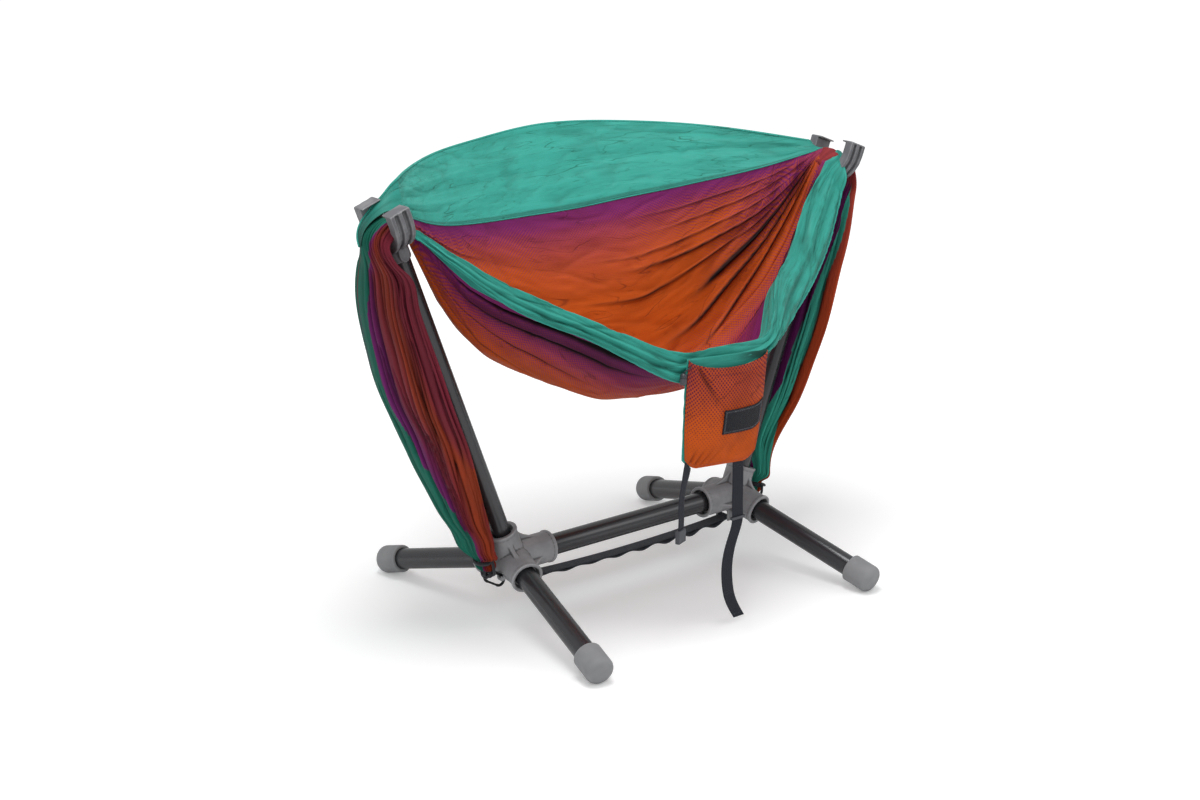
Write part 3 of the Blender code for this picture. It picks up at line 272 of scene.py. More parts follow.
def joined(name, things):
    work = bmesh.new()
    for thing in things:
        work.from_mesh(thing.data)
        old = thing.data
        bpy.data.objects.remove(thing)
        if not old.users:
            bpy.data.meshes.remove(old)
    mesh = bpy.data.meshes.new(name)
    work.to_mesh(mesh)
    work.free()
    return makeObject(name, mesh)


def finishPiece(thing, finish, body, slot, *nodes):
    thing.data.materials.clear()
    thing.data.materials.append(finishes[finish])
    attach(thing, body)
    if nodes:
        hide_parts(*nodes)
    return thing


# node trees
socketKinds = {
    "Vector": "Vector", "Line": "Geometry", "Places": "Geometry", "Stitches": "Geometry",
    "Loops": "Geometry", "Thread": "Material", "Webbing": "Material",
}  # every other socket is a number


def newGroup(name, inputs, outputs, kind="Shader"):
    tree = bpy.data.node_groups.new(name, kind + "NodeTree")
    sockets = [("INPUT", *item) for item in inputs.items()] + [("OUTPUT", label, None) for label in outputs]
    for way, label, value in sockets:
        socketType = "NodeSocket" + socketKinds.get(label, "Float")
        socket = tree.interface.new_socket(name=label, in_out=way, socket_type=socketType)
        if value is not None:
            socket.default_value = value
    return tree, tree.nodes.new("NodeGroupInput").outputs, tree.nodes.new("NodeGroupOutput").inputs


def feed(tree, socket, value):
    if isinstance(value, bpy.types.NodeSocket):
        tree.links.new(value, socket)
    elif value is not None:
        socket.default_value = value


def addNode(tree, kind, settings=None, **values):  # in an input's name, _ stands for a space
    node = tree.nodes.new(kind)
    for label, value in (settings or {}).items():
        setattr(node, label, value)
    for label, value in values.items():
        feed(tree, node.inputs[label.replace("_", " ")], value)
    return node


def mathNode(tree, operation, *values, clamp=False, kind="ShaderNodeMath"):
    node = addNode(tree, kind, {"operation": operation})
    if clamp:
        node.use_clamp = True
    for socket, value in zip(node.inputs, values):
        feed(tree, socket, value)
    return node.outputs[0]


def times(tree, *values, clamp=False):
    return mathNode(tree, "MULTIPLY", *values, clamp=clamp)


def plus(tree, *values):
    return mathNode(tree, "ADD", *values)


def vectorMath(tree, operation, *values):
    return mathNode(tree, operation, *values, kind="ShaderNodeVectorMath")


def mixColour(tree, share, first, second):
    node = addNode(tree, "ShaderNodeMix", {"data_type": "RGBA"}, Factor=share, A=first, B=second)
    return node.outputs["Result"]


def splitVector(tree, vector):
    return addNode(tree, "ShaderNodeSeparateXYZ", Vector=vector).outputs[:2]


def combined(tree, x, y, z):
    return addNode(tree, "ShaderNodeCombineXYZ", X=x, Y=y, Z=z).outputs[0]


def noiseNode(tree, vector, scale, detail=3.0, roughness=0.55):
    values = {"Vector": vector, "Scale": scale, "Detail": detail, "Roughness": roughness}
    return addNode(tree, "ShaderNodeTexNoise", **values).outputs["Fac"]


def mapRange(tree, value, low, high, toLow, toHigh):
    ends = {"From_Min": low, "From_Max": high, "To_Min": toLow, "To_Max": toHigh}
    smooth = {"interpolation_type": "SMOOTHSTEP"}
    return addNode(tree, "ShaderNodeMapRange", smooth, Value=value, **ends).outputs["Result"]


def ripstopGroup():  # fine threads with a heavier thread every few millimetres
    inputs = {"Vector": None, "Pitch": 0.0007, "Grid": 0.005}
    tree, given, result = newGroup("ripstopWeave", inputs, ("Height", "Heavy"))
    waves, heavy = [], []
    for axis in splitVector(tree, given["Vector"]):
        turns = mathNode(tree, "DIVIDE", axis, given["Pitch"])
        waves.append(mathNode(tree, "ABSOLUTE", mathNode(tree, "SINE", times(tree, turns, 2 * math.pi))))
        cell = mathNode(tree, "PINGPONG", mathNode(tree, "DIVIDE", axis, given["Grid"]), 0.5)
        heavy.append(mapRange(tree, cell, 0.0, 0.09, 1.0, 0.0))
    lines = mathNode(tree, "MAXIMUM", *heavy)
    fine = times(tree, plus(tree, *waves), 0.25)
    feed(tree, result["Height"], plus(tree, fine, times(tree, lines, 0.5)))
    feed(tree, result["Heavy"], lines)
    return tree


def dotGroup():  # printed dots that grow with the share of the second ink
    inputs = {"Vector": None, "Pitch": 0.003, "Share": 0.5}
    tree, given, result = newGroup("dotPrint", inputs, ("Ink",))
    x, y = splitVector(tree, given["Vector"])
    waves = []
    for both in (plus(tree, x, y), mathNode(tree, "SUBTRACT", x, y)):
        turns = mathNode(tree, "DIVIDE", both, given["Pitch"])
        waves.append(mathNode(tree, "COSINE", times(tree, turns, math.pi * 1.4142)))
    level = plus(tree, times(tree, plus(tree, *waves), 0.25), 0.5)
    edge = mathNode(tree, "SUBTRACT", 1.0, given["Share"])
    low, high = mathNode(tree, "SUBTRACT", edge, 0.07), plus(tree, edge, 0.07)
    feed(tree, result["Ink"], mapRange(tree, level, low, high, 0.0, 1.0))
    return tree


def crumpleGroup():  # soft wrinkles and thin creases that run along the pull of the cloth; Shade and Crease set where the cloth's colour is darkened as painted shade
    inputs = {"Vector": None, "Along": 9.0, "Across": 60.0}
    tree, given, result = newGroup("clothCrumple", inputs, ("Height", "Shade", "Crease"))
    where = given["Vector"]
    pulled = vectorMath(tree, "MULTIPLY", where, combined(tree, given["Along"], given["Across"], 1.0))
    bent = vectorMath(tree, "ADD", pulled, times(tree, noiseNode(tree, where, 4.0, 1.0), 1.6))
    broad = noiseNode(tree, bent, 1.0, 5.0, 0.58)
    creases = []
    for scale, width in ((0.62, 0.0075), (1.7, 0.012)):
        off = mathNode(tree, "SUBTRACT", noiseNode(tree, bent, scale, 2.0, 0.4), 0.5)
        creases.append(mapRange(tree, mathNode(tree, "ABSOLUTE", off), 0.0, width, 1.0, 0.0))
    place = mapRange(tree, noiseNode(tree, where, 16.0, 2.0), 0.38, 0.58, 0.0, 1.0)
    crease = times(tree, plus(tree, creases[0], times(tree, creases[1], 0.5)), place, clamp=True)
    height = mathNode(tree, "SUBTRACT", times(tree, broad, 0.75), times(tree, crease, 0.25))
    feed(tree, result["Height"], height)
    feed(tree, result["Shade"], mapRange(tree, broad, 0.3, 0.7, 0.0, 1.0))
    feed(tree, result["Crease"], crease)
    return tree


def webbingGroup():  # slanted ribs of woven strap, along Y of the map
    inputs = {"Vector": None, "Rib": 0.0022}
    tree, given, result = newGroup("webbingWeave", inputs, ("Height", "Shade"))
    x, y = splitVector(tree, given["Vector"])
    zigzag = mathNode(tree, "PINGPONG", mathNode(tree, "DIVIDE", x, given["Rib"]), 1.0)
    slant = plus(tree, mathNode(tree, "DIVIDE", y, times(tree, given["Rib"], 0.55)), zigzag)
    rib = mathNode(tree, "ABSOLUTE", mathNode(tree, "SINE", times(tree, slant, math.pi)))
    feed(tree, result["Height"], rib)
    feed(tree, result["Shade"], mapRange(tree, rib, 0.1, 0.9, 0.0, 1.0))
    return tree


def grainGroup():  # moulded grain, a mask of sharp edges that are lightened as wear and as a painted highlight, and a mask of hollows that are darkened as painted shade
    inputs = {"Vector": None, "Scale": 900.0}
    outputs = ("Height", "EdgeWearAndHighlight", "Hollow", "Mottle")
    tree, given, result = newGroup("mouldGrain", inputs, outputs)
    point = addNode(tree, "ShaderNodeNewGeometry").outputs["Pointiness"]
    feed(tree, result["Height"], noiseNode(tree, given["Vector"], given["Scale"], 2.0))
    feed(tree, result["EdgeWearAndHighlight"], mapRange(tree, point, 0.505, 0.56, 0.0, 1.0))
    feed(tree, result["Hollow"], mapRange(tree, point, 0.478, 0.498, 1.0, 0.0))
    feed(tree, result["Mottle"], noiseNode(tree, given["Vector"], times(tree, given["Scale"], 0.035), 3.0))
    return tree


shaderGroups = {
    "ripstop": ripstopGroup(), "dots": dotGroup(), "crumple": crumpleGroup(),
    "webbing": webbingGroup(), "grain": grainGroup(),
}


def placeGroup(tree, name, **values):
    return addNode(tree, "ShaderNodeGroup", {"node_tree": shaderGroups[name]}, **values).outputs


# finishes
def newMaterial(name, roughness=0.6, metallic=0.0, sheen=0.0, specular=0.5):
    material = bpy.data.materials.new(name)
    material.use_nodes = True
    shader = material.node_tree.nodes["Principled BSDF"]
    values = {"Roughness": roughness, "Metallic": metallic, "Sheen Weight": sheen,
              "Sheen Roughness": 0.4, "Specular IOR Level": specular}
    for label, value in values.items():
        shader.inputs[label].default_value = value
    return material, material.node_tree, shader


def uvNode(tree, layer):
    return addNode(tree, "ShaderNodeUVMap", {"uv_map": layer}).outputs[0]


def attributeNode(tree, name):
    return addNode(tree, "ShaderNodeAttribute", {"attribute_name": name}).outputs


def objectVector(tree):
    return addNode(tree, "ShaderNodeTexCoord").outputs["Object"]


def paint(tree, shader, base, roughness, *heights):  # heights are pairs of height and distance in metres
    feed(tree, shader.inputs["Base Color"], base)
    feed(tree, shader.inputs["Roughness"], roughness)
    normal = None
    for height, distance in heights:
        values = {"Strength": 1.0, "Distance": distance, "Height": height, "Normal": normal}
        normal = addNode(tree, "ShaderNodeBump", **values).outputs[0]
    feed(tree, shader.inputs["Normal"], normal)


def rgb(*levels):  # from screen colour to the linear value that a node takes
    shares = [c / 255 for c in levels]
    return tuple(c / 12.92 if c <= 0.04 else ((c + 0.055) / 1.055) ** 2.4 for c in shares) + (1.0,)


clothColours = {
    "teal": rgb(48, 152, 138), "tealFoldShade": rgb(14, 98, 80), "orange": rgb(196, 82, 12),
    "purple": rgb(116, 32, 100), "maroon": rgb(160, 58, 50), "pouchInk": rgb(92, 22, 54),
}
weaveSizes = {"thread": 0.0008, "heavyThread": 0.0045, "heavyShare": 0.10, "depth": 0.00012}
clothLooks = {
    "plain": {"roughness": 0.55, "sheen": 0.03, "specular": 0.24, "shade": 0.16, "crease": 0.78,
              "gloss": (0.62, 0.46)},
    "printed": {"roughness": 0.66, "sheen": 0.0, "specular": 0.14, "shade": 0.18, "crease": 0.45,
                "gloss": (0.72, 0.6)},
    "gathered": {"roughness": 0.68, "sheen": 0.0, "specular": 0.12, "shade": 0.34, "crease": 0.45,
                 "gloss": None},
}


def wovenCloth(name, look, along, across, strength, ground):  # ground gives the base and the colours it darkens to: painted shade for wrinkles, creases and the crease attribute, and the heavy threads' own tone
    look = clothLooks[look]
    material, tree, shader = newMaterial(name, look["roughness"], 0.0, look["sheen"], look["specular"])
    lay = uvNode(tree, "weave")
    base, shadeAndThreadColours = ground(tree, lay)
    weave = placeGroup(tree, "ripstop", Vector=lay, Pitch=weaveSizes["thread"], Grid=weaveSizes["heavyThread"])
    crumple = placeGroup(tree, "crumple", Vector=lay, Along=along, Across=across)
    # painted shade: broad wrinkles, thin creases and the crease attribute darken the base; the heavy threads
    # are a real darker tone
    shares = (mapRange(tree, crumple["Shade"], 0.0, 1.0, look["shade"], 0.0),
              times(tree, crumple["Crease"], look["crease"]),
              times(tree, weave["Heavy"], weaveSizes["heavyShare"]), attributeNode(tree, "crease")["Fac"])
    for share, colour in zip(shares, shadeAndThreadColours):
        base = mixColour(tree, share, base, colour)
    gloss = mapRange(tree, crumple["Shade"], 0.0, 1.0, *look["gloss"]) if look["gloss"] else None
    paint(tree, shader, base, gloss, (crumple["Height"], strength), (weave["Height"], weaveSizes["depth"]))
    return material


def plainGround(*_):  # plain cloth has no map of its own
    # painted shade colours for the folds and creases of the teal cloth, the last for the deepest creases
    fold = clothColours["tealFoldShade"]
    return clothColours["teal"], (fold, fold, fold, rgb(6, 52, 42))


def printedGround(pitch, second):  # dots of the second ink on orange that turns maroon
    def ground(tree, lay):
        share = attributeNode(tree, "ink")["Fac"]
        dots = placeGroup(tree, "dots", Vector=lay, Pitch=pitch, Share=share)
        turned = mapRange(tree, share, 0.15, 0.75, 0.0, 1.0)
        paper = mixColour(tree, turned, clothColours["orange"], clothColours["maroon"])
        # painted shade colours for wrinkles, thin creases and the crease attribute, with the heavy threads'
        # tone third
        folds = (rgb(92, 34, 22), rgb(60, 18, 16), rgb(92, 30, 34), rgb(16, 4, 6))
        return mixColour(tree, dots["Ink"], paper, clothColours[second]), folds
    return ground


def tintedGround(tree, _):  # colour bands come with the folds of the gathered cloth; a darker copy of the tint paints shade into its folds
    tint = attributeNode(tree, "tint")["Color"]
    shadedTint = mixColour(tree, 0.6, tint, rgb(16, 6, 10))
    return tint, (shadedTint, shadedTint, shadedTint, rgb(12, 4, 7))


def mouldedPlastic(name, colour, light, roughness, scale=900.0, grain=0.00006):
    material, tree, shader = newMaterial(name, roughness, specular=0.4)
    moulded = placeGroup(tree, "grain", Vector=objectVector(tree), Scale=scale)
    mottle = mapRange(tree, moulded["Mottle"], 0.35, 0.7, 0.0, 1.0)
    base = mixColour(tree, mottle, colour, mixColour(tree, 0.25, colour, light))
    # lighter on sharp edges, as wear and as a painted highlight; painted shade darkens the hollows
    base = mixColour(tree, times(tree, moulded["EdgeWearAndHighlight"], 0.55), base, light)
    base = mixColour(tree, times(tree, moulded["Hollow"], 0.6), base, rgb(30, 30, 32))
    gloss = mapRange(tree, moulded["Mottle"], 0.3, 0.75, roughness + 0.06, roughness - 0.05)
    paint(tree, shader, base, gloss, (moulded["Height"], grain))
    return material


def anodisedTube(name):
    material, tree, shader = newMaterial(name, 0.25, metallic=0.3, specular=0.8)
    drawn = vectorMath(tree, "MULTIPLY", uvNode(tree, "lay"), (220.0, 2.5, 1.0))
    brushed = noiseNode(tree, drawn, 1.0, 4.0, 0.6)
    reddishReflection = noiseNode(tree, objectVector(tree), 34.0, 3.0)
    base = mixColour(tree, mapRange(tree, brushed, 0.3, 0.75, 0.0, 1.0), rgb(50, 51, 54), rgb(55, 56, 59))
    # painted reflection: reddish patches stand for the red cloth mirrored in the tube
    base = mixColour(tree, mapRange(tree, reddishReflection, 0.45, 0.75, 0.0, 0.4), base, rgb(52, 44, 46))
    paint(tree, shader, base, mapRange(tree, brushed, 0.25, 0.8, 0.23, 0.26), (brushed, 0.0000012))
    return material


def strapWebbing(name, colour, light, rib=0.0022):
    material, tree, shader = newMaterial(name, 0.8, sheen=0.08, specular=0.2)
    lay = uvNode(tree, "weave")
    weave = placeGroup(tree, "webbing", Vector=lay, Rib=rib)
    fuzz = noiseNode(tree, lay, 2600.0, 2.0)
    base = mixColour(tree, times(tree, weave["Shade"], 0.6), colour, light)
    base = mixColour(tree, mapRange(tree, fuzz, 0.45, 0.8, 0.0, 0.35), base, light)
    gloss = mapRange(tree, fuzz, 0.2, 0.8, 0.85, 0.7)
    paint(tree, shader, base, gloss, (weave["Height"], 0.00022), (fuzz, 0.00005))
    return material


def braidedCord(name, colour, light):
    material, tree, shader = newMaterial(name, 0.7, sheen=0.2, specular=0.3)
    x, y = splitVector(tree, uvNode(tree, "lay"))
    strands = []
    for turns in (6.0, -6.0):
        twist = plus(tree, times(tree, x, turns), times(tree, y, 420.0))
        strands.append(mathNode(tree, "ABSOLUTE", mathNode(tree, "SINE", times(tree, twist, math.pi))))
    braid = mathNode(tree, "MAXIMUM", *strands)
    base = mixColour(tree, mapRange(tree, braid, 0.3, 1.0, 0.0, 1.0), colour, light)
    paint(tree, shader, base, None, (braid, 0.0003))
    return material


def blackWire(name):
    material, tree, shader = newMaterial(name, 0.34, metallic=0.4, specular=0.5)
    # lighter, rougher patches at random
    toneNoise = noiseNode(tree, objectVector(tree), 160.0, 4.0)
    base = mixColour(tree, mapRange(tree, toneNoise, 0.55, 0.8, 0.0, 0.6), rgb(26, 26, 28), rgb(74, 75, 78))
    paint(tree, shader, base, mapRange(tree, toneNoise, 0.3, 0.8, 0.28, 0.5), (toneNoise, 0.00003))
    return material


def threadMaterial(name, colour, light):
    material, tree, shader = newMaterial(name, 0.6, sheen=0.3, specular=0.3)
    twist = noiseNode(tree, objectVector(tree), 1400.0, 2.0)
    base = mixColour(tree, mapRange(tree, twist, 0.35, 0.7, 0.0, 1.0), colour, light)
    paint(tree, shader, base, None, (twist, 0.00008))
    return material


printedSeat, printedPouch = printedGround(0.0042, "purple"), printedGround(0.0052, "pouchInk")
finishes = {
    "teal": wovenCloth("teal cloth", "plain", 8.0, 62.0, 0.0019, plainGround),
    "tealBand": wovenCloth("teal rolled band", "plain", 5.0, 90.0, 0.0018, plainGround),
    "print": wovenCloth("printed cloth", "printed", 6.0, 34.0, 0.0015, printedSeat),
    "pouchPrint": wovenCloth("printed pouch cloth", "printed", 14.0, 22.0, 0.0006, printedPouch),
    "bundle": wovenCloth("gathered cloth", "gathered", 60.0, 5.0, 0.0012, tintedGround),
    "hub": mouldedPlastic("grey moulded plastic", rgb(134, 134, 137), rgb(186, 186, 188), 0.5),
    "yoke": mouldedPlastic("grey yoke plastic", rgb(98, 98, 102), rgb(178, 178, 180), 0.46),
    "cap": mouldedPlastic("grey cap rubber", rgb(128, 129, 131), rgb(158, 159, 160), 0.62, 600.0, 0.0001),
    "blackPlastic": mouldedPlastic("black plastic", rgb(38, 40, 44), rgb(84, 86, 92), 0.42),
    "tube": anodisedTube("anodised tube"),
    "webbing": strapWebbing("slate webbing", rgb(24, 26, 33), rgb(48, 51, 61)),
    # painted light: the tension strap takes the slate webbing painted lighter, for the light it catches edge-on
    "tension": strapWebbing("lit slate webbing", rgb(40, 42, 47), rgb(84, 87, 94)),
    "patch": strapWebbing("bare woven patch", rgb(20, 21, 27), rgb(34, 35, 43), 0.0007),
    "cord": braidedCord("black braided cord", rgb(14, 14, 16), rgb(52, 53, 58)),
    "wire": blackWire("black wire"),
    "tealThread": threadMaterial("teal thread", rgb(24, 112, 88), rgb(44, 150, 124)),
    "darkThread": threadMaterial("slate thread", rgb(40, 42, 50), rgb(96, 98, 108)),
    "paleThread": threadMaterial("pale thread", rgb(118, 120, 128), rgb(156, 158, 166)),
    "inkThread": threadMaterial("maroon thread", rgb(96, 30, 60), rgb(140, 52, 80)),
}
print("finishes ready,", len(finishes))


# repeated details
def placeCopies(tree, socket, points, copy, material, **values):  # one copy on each point, then coloured
    placed = addNode(tree, "GeometryNodeInstanceOnPoints", Points=points, Instance=copy, **values)
    real = addNode(tree, "GeometryNodeRealizeInstances", Geometry=placed.outputs[0])
    coloured = addNode(tree, "GeometryNodeSetMaterial", Geometry=real.outputs[0], Material=material)
    tree.links.new(coloured.outputs[0], socket)


def stitchTree():  # small rounded stitches set at even steps along a line
    inputs = {"Line": None, "Spacing": 0.004, "Length": 0.003, "Thickness": 0.0004, "Thread": None}
    tree, given, result = newGroup("stitchRow", inputs, ("Stitches",), "Geometry")
    line = addNode(tree, "GeometryNodeMeshToCurve", Mesh=given["Line"]).outputs[0]
    evenly = {"mode": "LENGTH"}
    spaced = addNode(tree, "GeometryNodeResampleCurve", evenly, Curve=line, Length=given["Spacing"])
    bead = addNode(tree, "GeometryNodeMeshUVSphere", Segments=6, Rings=4, Radius=0.5).outputs["Mesh"]
    scale = combined(tree, given["Length"], given["Thickness"], given["Thickness"])
    shaped = addNode(tree, "GeometryNodeTransform", Geometry=bead, Scale=scale).outputs[0]
    way = addNode(tree, "GeometryNodeInputTangent").outputs[0]
    turn = addNode(tree, "FunctionNodeAlignRotationToVector", {"axis": "X"}, Vector=way).outputs[0]
    placeCopies(tree, result["Stitches"], spaced.outputs[0], shaped, given["Thread"], Rotation=turn)
    return tree


def strapLoopTree():  # hanging loops of webbing, one in each cell along the strap
    inputs = {"Places": None, "Width": 0.025, "Thickness": 0.0014, "Span": 0.06, "Drop": 0.008, "Webbing": None}
    tree, given, result = newGroup("strapLoops", inputs, ("Loops",), "Geometry")
    extent = combined(tree, given["Span"], given["Width"], given["Thickness"])
    cuts = {"Vertices_X": 33, "Vertices_Y": 5, "Vertices_Z": 2}
    block = addNode(tree, "GeometryNodeMeshCube", Size=extent, **cuts).outputs["Mesh"]
    place = addNode(tree, "GeometryNodeInputPosition").outputs[0]
    share = mathNode(tree, "DIVIDE", splitVector(tree, place)[0], given["Span"])
    wave = mathNode(tree, "COSINE", times(tree, share, math.pi))
    drop = times(tree, mathNode(tree, "POWER", wave, 2.0), given["Drop"])
    offset = combined(tree, 0.0, 0.0, times(tree, drop, -1.0))
    bent = addNode(tree, "GeometryNodeSetPosition", Geometry=block, Offset=offset).outputs[0]
    perLoop = {}
    for label, attribute in (("Scale", "scale"), ("Rotation", "turn")):
        node = addNode(tree, "GeometryNodeInputNamedAttribute", {"data_type": "FLOAT_VECTOR"}, Name=attribute)
        perLoop[label] = node.outputs["Attribute"]
    placeCopies(tree, result["Loops"], given["Places"], bent, given["Webbing"], **perLoop)
    return tree


detailTrees = {"stitches": stitchTree(), "loops": strapLoopTree()}


def growDetail(thing, treeName, **values):
    modifier = thing.modifiers.new(treeName, "NODES")
    tree = detailTrees[treeName]
    modifier.node_group = tree
    for item in tree.interface.items_tree:
        if item.item_type == "SOCKET" and item.in_out == "INPUT" and item.name in values:
            modifier[item.identifier] = values[item.name]
    return bakeModifiers(thing)


def stitchRow(name, lines, thread, body, slot, spacing=0.004, length=0.003, thickness=0.0005):
    points, edges = [], []
    for line in lines:
        first = len(points)
        points += [tuple(p) for p in line]
        edges += [(i, i + 1) for i in range(first, len(points) - 1)]
    thing = makeObject(name, meshFrom(name, points, edges))
    sizes = {"Spacing": spacing, "Length": length, "Thickness": thickness}
    growDetail(thing, "stitches", Thread=finishes[thread], **sizes)
    thing.data.shade_smooth()
    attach(thing, body)
    return thing


# stand
stand = {
    "hubSpacing": 0.528, "legReach": 0.339, "legSlope": 15.7, "legSweep": 9.6, "lean": 20.9, "saddle": 0.640,
    "spineRadius": 0.019, "legRadius": 0.019, "uprightRadius": 0.0163, "tubeWall": 0.0016, "tubeSeat": 0.026,
    "uprightShort": 0.0153, "legShort": 0.0083, "yokeWidth": 0.038, "capRadius": 0.0254, "capLength": 0.054,
    "capRounding": 0.012, "capEndWall": 0.008, "capMouth": 0.003, "capFit": 0.0004, "floorFlat": 0.0006,
    "hubVoxel": 0.0012, "hubRounds": 8, "yokeVoxel": 0.0009, "yokeRounds": 22,
}
legSlope, lean = math.radians(stand["legSlope"]), math.radians(stand["lean"])
capLow = (stand["capRadius"] - stand["capRounding"]) * math.cos(legSlope)
capEnd = capLow + stand["capRounding"] * (1 - math.sin(legSlope)) - stand["floorFlat"]
stand["hubHeight"] = capEnd + stand["legReach"] * math.sin(legSlope)
saddleHeight = stand["hubHeight"] + stand["saddle"] * math.cos(lean)
saddleX = stand["hubSpacing"] / 2 + stand["saddle"] * math.sin(lean)
sides = (("left", -1), ("right", 1))


def hubCentre(side):
    return Vector((side * stand["hubSpacing"] / 2, 0, stand["hubHeight"]))


def legDirection(side, end):
    sweep = math.radians(stand["legSweep"])
    flat = math.cos(legSlope)
    return Vector((side * flat * math.sin(sweep), end * flat * math.cos(sweep), -math.sin(legSlope)))


def uprightDirection(side):
    return Vector((side * math.sin(lean), 0, math.cos(lean)))


def uprightPoint(side, distance, offset, y=0.0):
    out = Vector((side * math.cos(lean), 0, -math.sin(lean)))
    place = hubCentre(side) + uprightDirection(side) * distance + out * offset
    return Vector((place.x, y, place.z))


def alongAxis(origin, direction):
    return Matrix.Translation(Vector(origin)) @ Vector(direction).to_track_quat("Z", "Y").to_matrix().to_4x4()


def roundTube(name, origin, way, first, last, radius, body, node):
    start, end = origin + way * first, origin + way * last
    length = (end - start).length
    inner = radius - stand["tubeWall"]
    rim = ((inner, 0.002), (inner, 0.0004), (radius - 0.0008, 0.0), (radius - 0.0002, 0.0002))
    profile = [*rim, (radius, 0.0008)]
    profile += [(radius, 0.001 + (length - 0.002) * i / 60) for i in range(61)]
    profile += [(r, length - z) for r, z in rim[::-1]]
    thing = lathe(name, profile, alongAxis(start, end - start))
    return finishPiece(thing, "tube", body, "tube_metal", node)


def footCap(name, side, endWay, body, node):
    direction = legDirection(side, endWay)
    tip = hubCentre(side) + direction * stand["legReach"]
    radius, rounding, mouth = stand["capRadius"], stand["capRounding"], stand["capMouth"]
    length, floor, bore = stand["capLength"], stand["capEndWall"], stand["legRadius"] + stand["capFit"]
    profile = [(0.0, 0.0), (radius * 0.25, -0.00004), (radius - rounding, 0.0)]
    for angle in np.radians(np.linspace(-90, 0, 13)[1:]):
        across, along = rounding * math.cos(angle), rounding * math.sin(angle)
        profile.append((radius - rounding + across, -(rounding + along)))
    profile += [(radius, -(rounding + (length - mouth - rounding) * i / 9)) for i in range(1, 9)]
    for angle in np.radians(np.linspace(0, 90, 7)):
        profile.append((radius - mouth + mouth * math.cos(angle), -(length - mouth + mouth * math.sin(angle))))
    profile += [(bore + 0.0006, -length), (bore, -length + 0.0008), (bore, -floor - 0.001), (0.0, -floor)]
    thing = lathe(name, profile, alongAxis(tip, direction))
    work = bmesh.new()  # the flat that rests on the floor
    work.from_mesh(thing.data)
    parts = work.verts[:] + work.edges[:] + work.faces[:]
    cut = bmesh.ops.bisect_plane(work, geom=parts, plane_co=(0, 0, 0), plane_no=(0, 0, -1), clear_outer=True)
    rim = [g for g in cut["geom_cut"] if isinstance(g, bmesh.types.BMEdge)]
    bmesh.ops.contextual_create(work, geom=rim)
    bmesh.ops.recalc_face_normals(work, faces=work.faces)
    work.to_mesh(thing.data)
    work.free()
    thing.data.shade_smooth()
    finishPiece(thing, "cap", body, "cap_rubber", node)


def softened(name, node, finish, voxel, rounds):  # moulded block with soft edges, from its solid
    thing = cleaned(makeObject(name, solids[node].data.copy()))
    addModifier(thing, "REMESH", mode="VOXEL", voxel_size=voxel, use_smooth_shade=True)
    addModifier(thing, "SMOOTH", factor=0.5, iterations=rounds)
    bakeModifiers(thing)
    thing.data.shade_smooth()
    return finishPiece(thing, finish, "stand_and_seat", "hub_plastic", node)


spineReach = stand["hubSpacing"] / 2 - stand["tubeSeat"]
spineMiddle, spineWay = Vector((0, 0, stand["hubHeight"])), Vector((1, 0, 0))
roundTube("spine", spineMiddle, spineWay, -spineReach, spineReach, stand["spineRadius"], "stand_and_seat",
          "spine_tube")
for label, side in sides:
    hub, last = hubCentre(side), stand["saddle"] - stand["uprightShort"]
    roundTube(label + "Upright", hub, uprightDirection(side), stand["tubeSeat"], last,
              stand["uprightRadius"], "stand_and_seat", label + "_upright_tube")
    for endName, endWay in (("front", -1), ("rear", 1)):
        body, last = f"{endName}_{label}_leg", stand["legReach"] - stand["legShort"]
        roundTube(endName + label.title() + "Leg", hub, legDirection(side, endWay), stand["tubeSeat"], last,
                  stand["legRadius"], body, body + "_tube")
        footCap(endName + label.title() + "Cap", side, endWay, body, f"{endName}_{label}_foot_cap")
print("tubes and caps made")
for label, side in sides:
    softened(label + "Hub", label + "_hub", "hub", stand["hubVoxel"], stand["hubRounds"])
    softened(label + "Yoke", label + "_yoke", "yoke", stand["yokeVoxel"], stand["yokeRounds"])
print("hubs and yokes made")

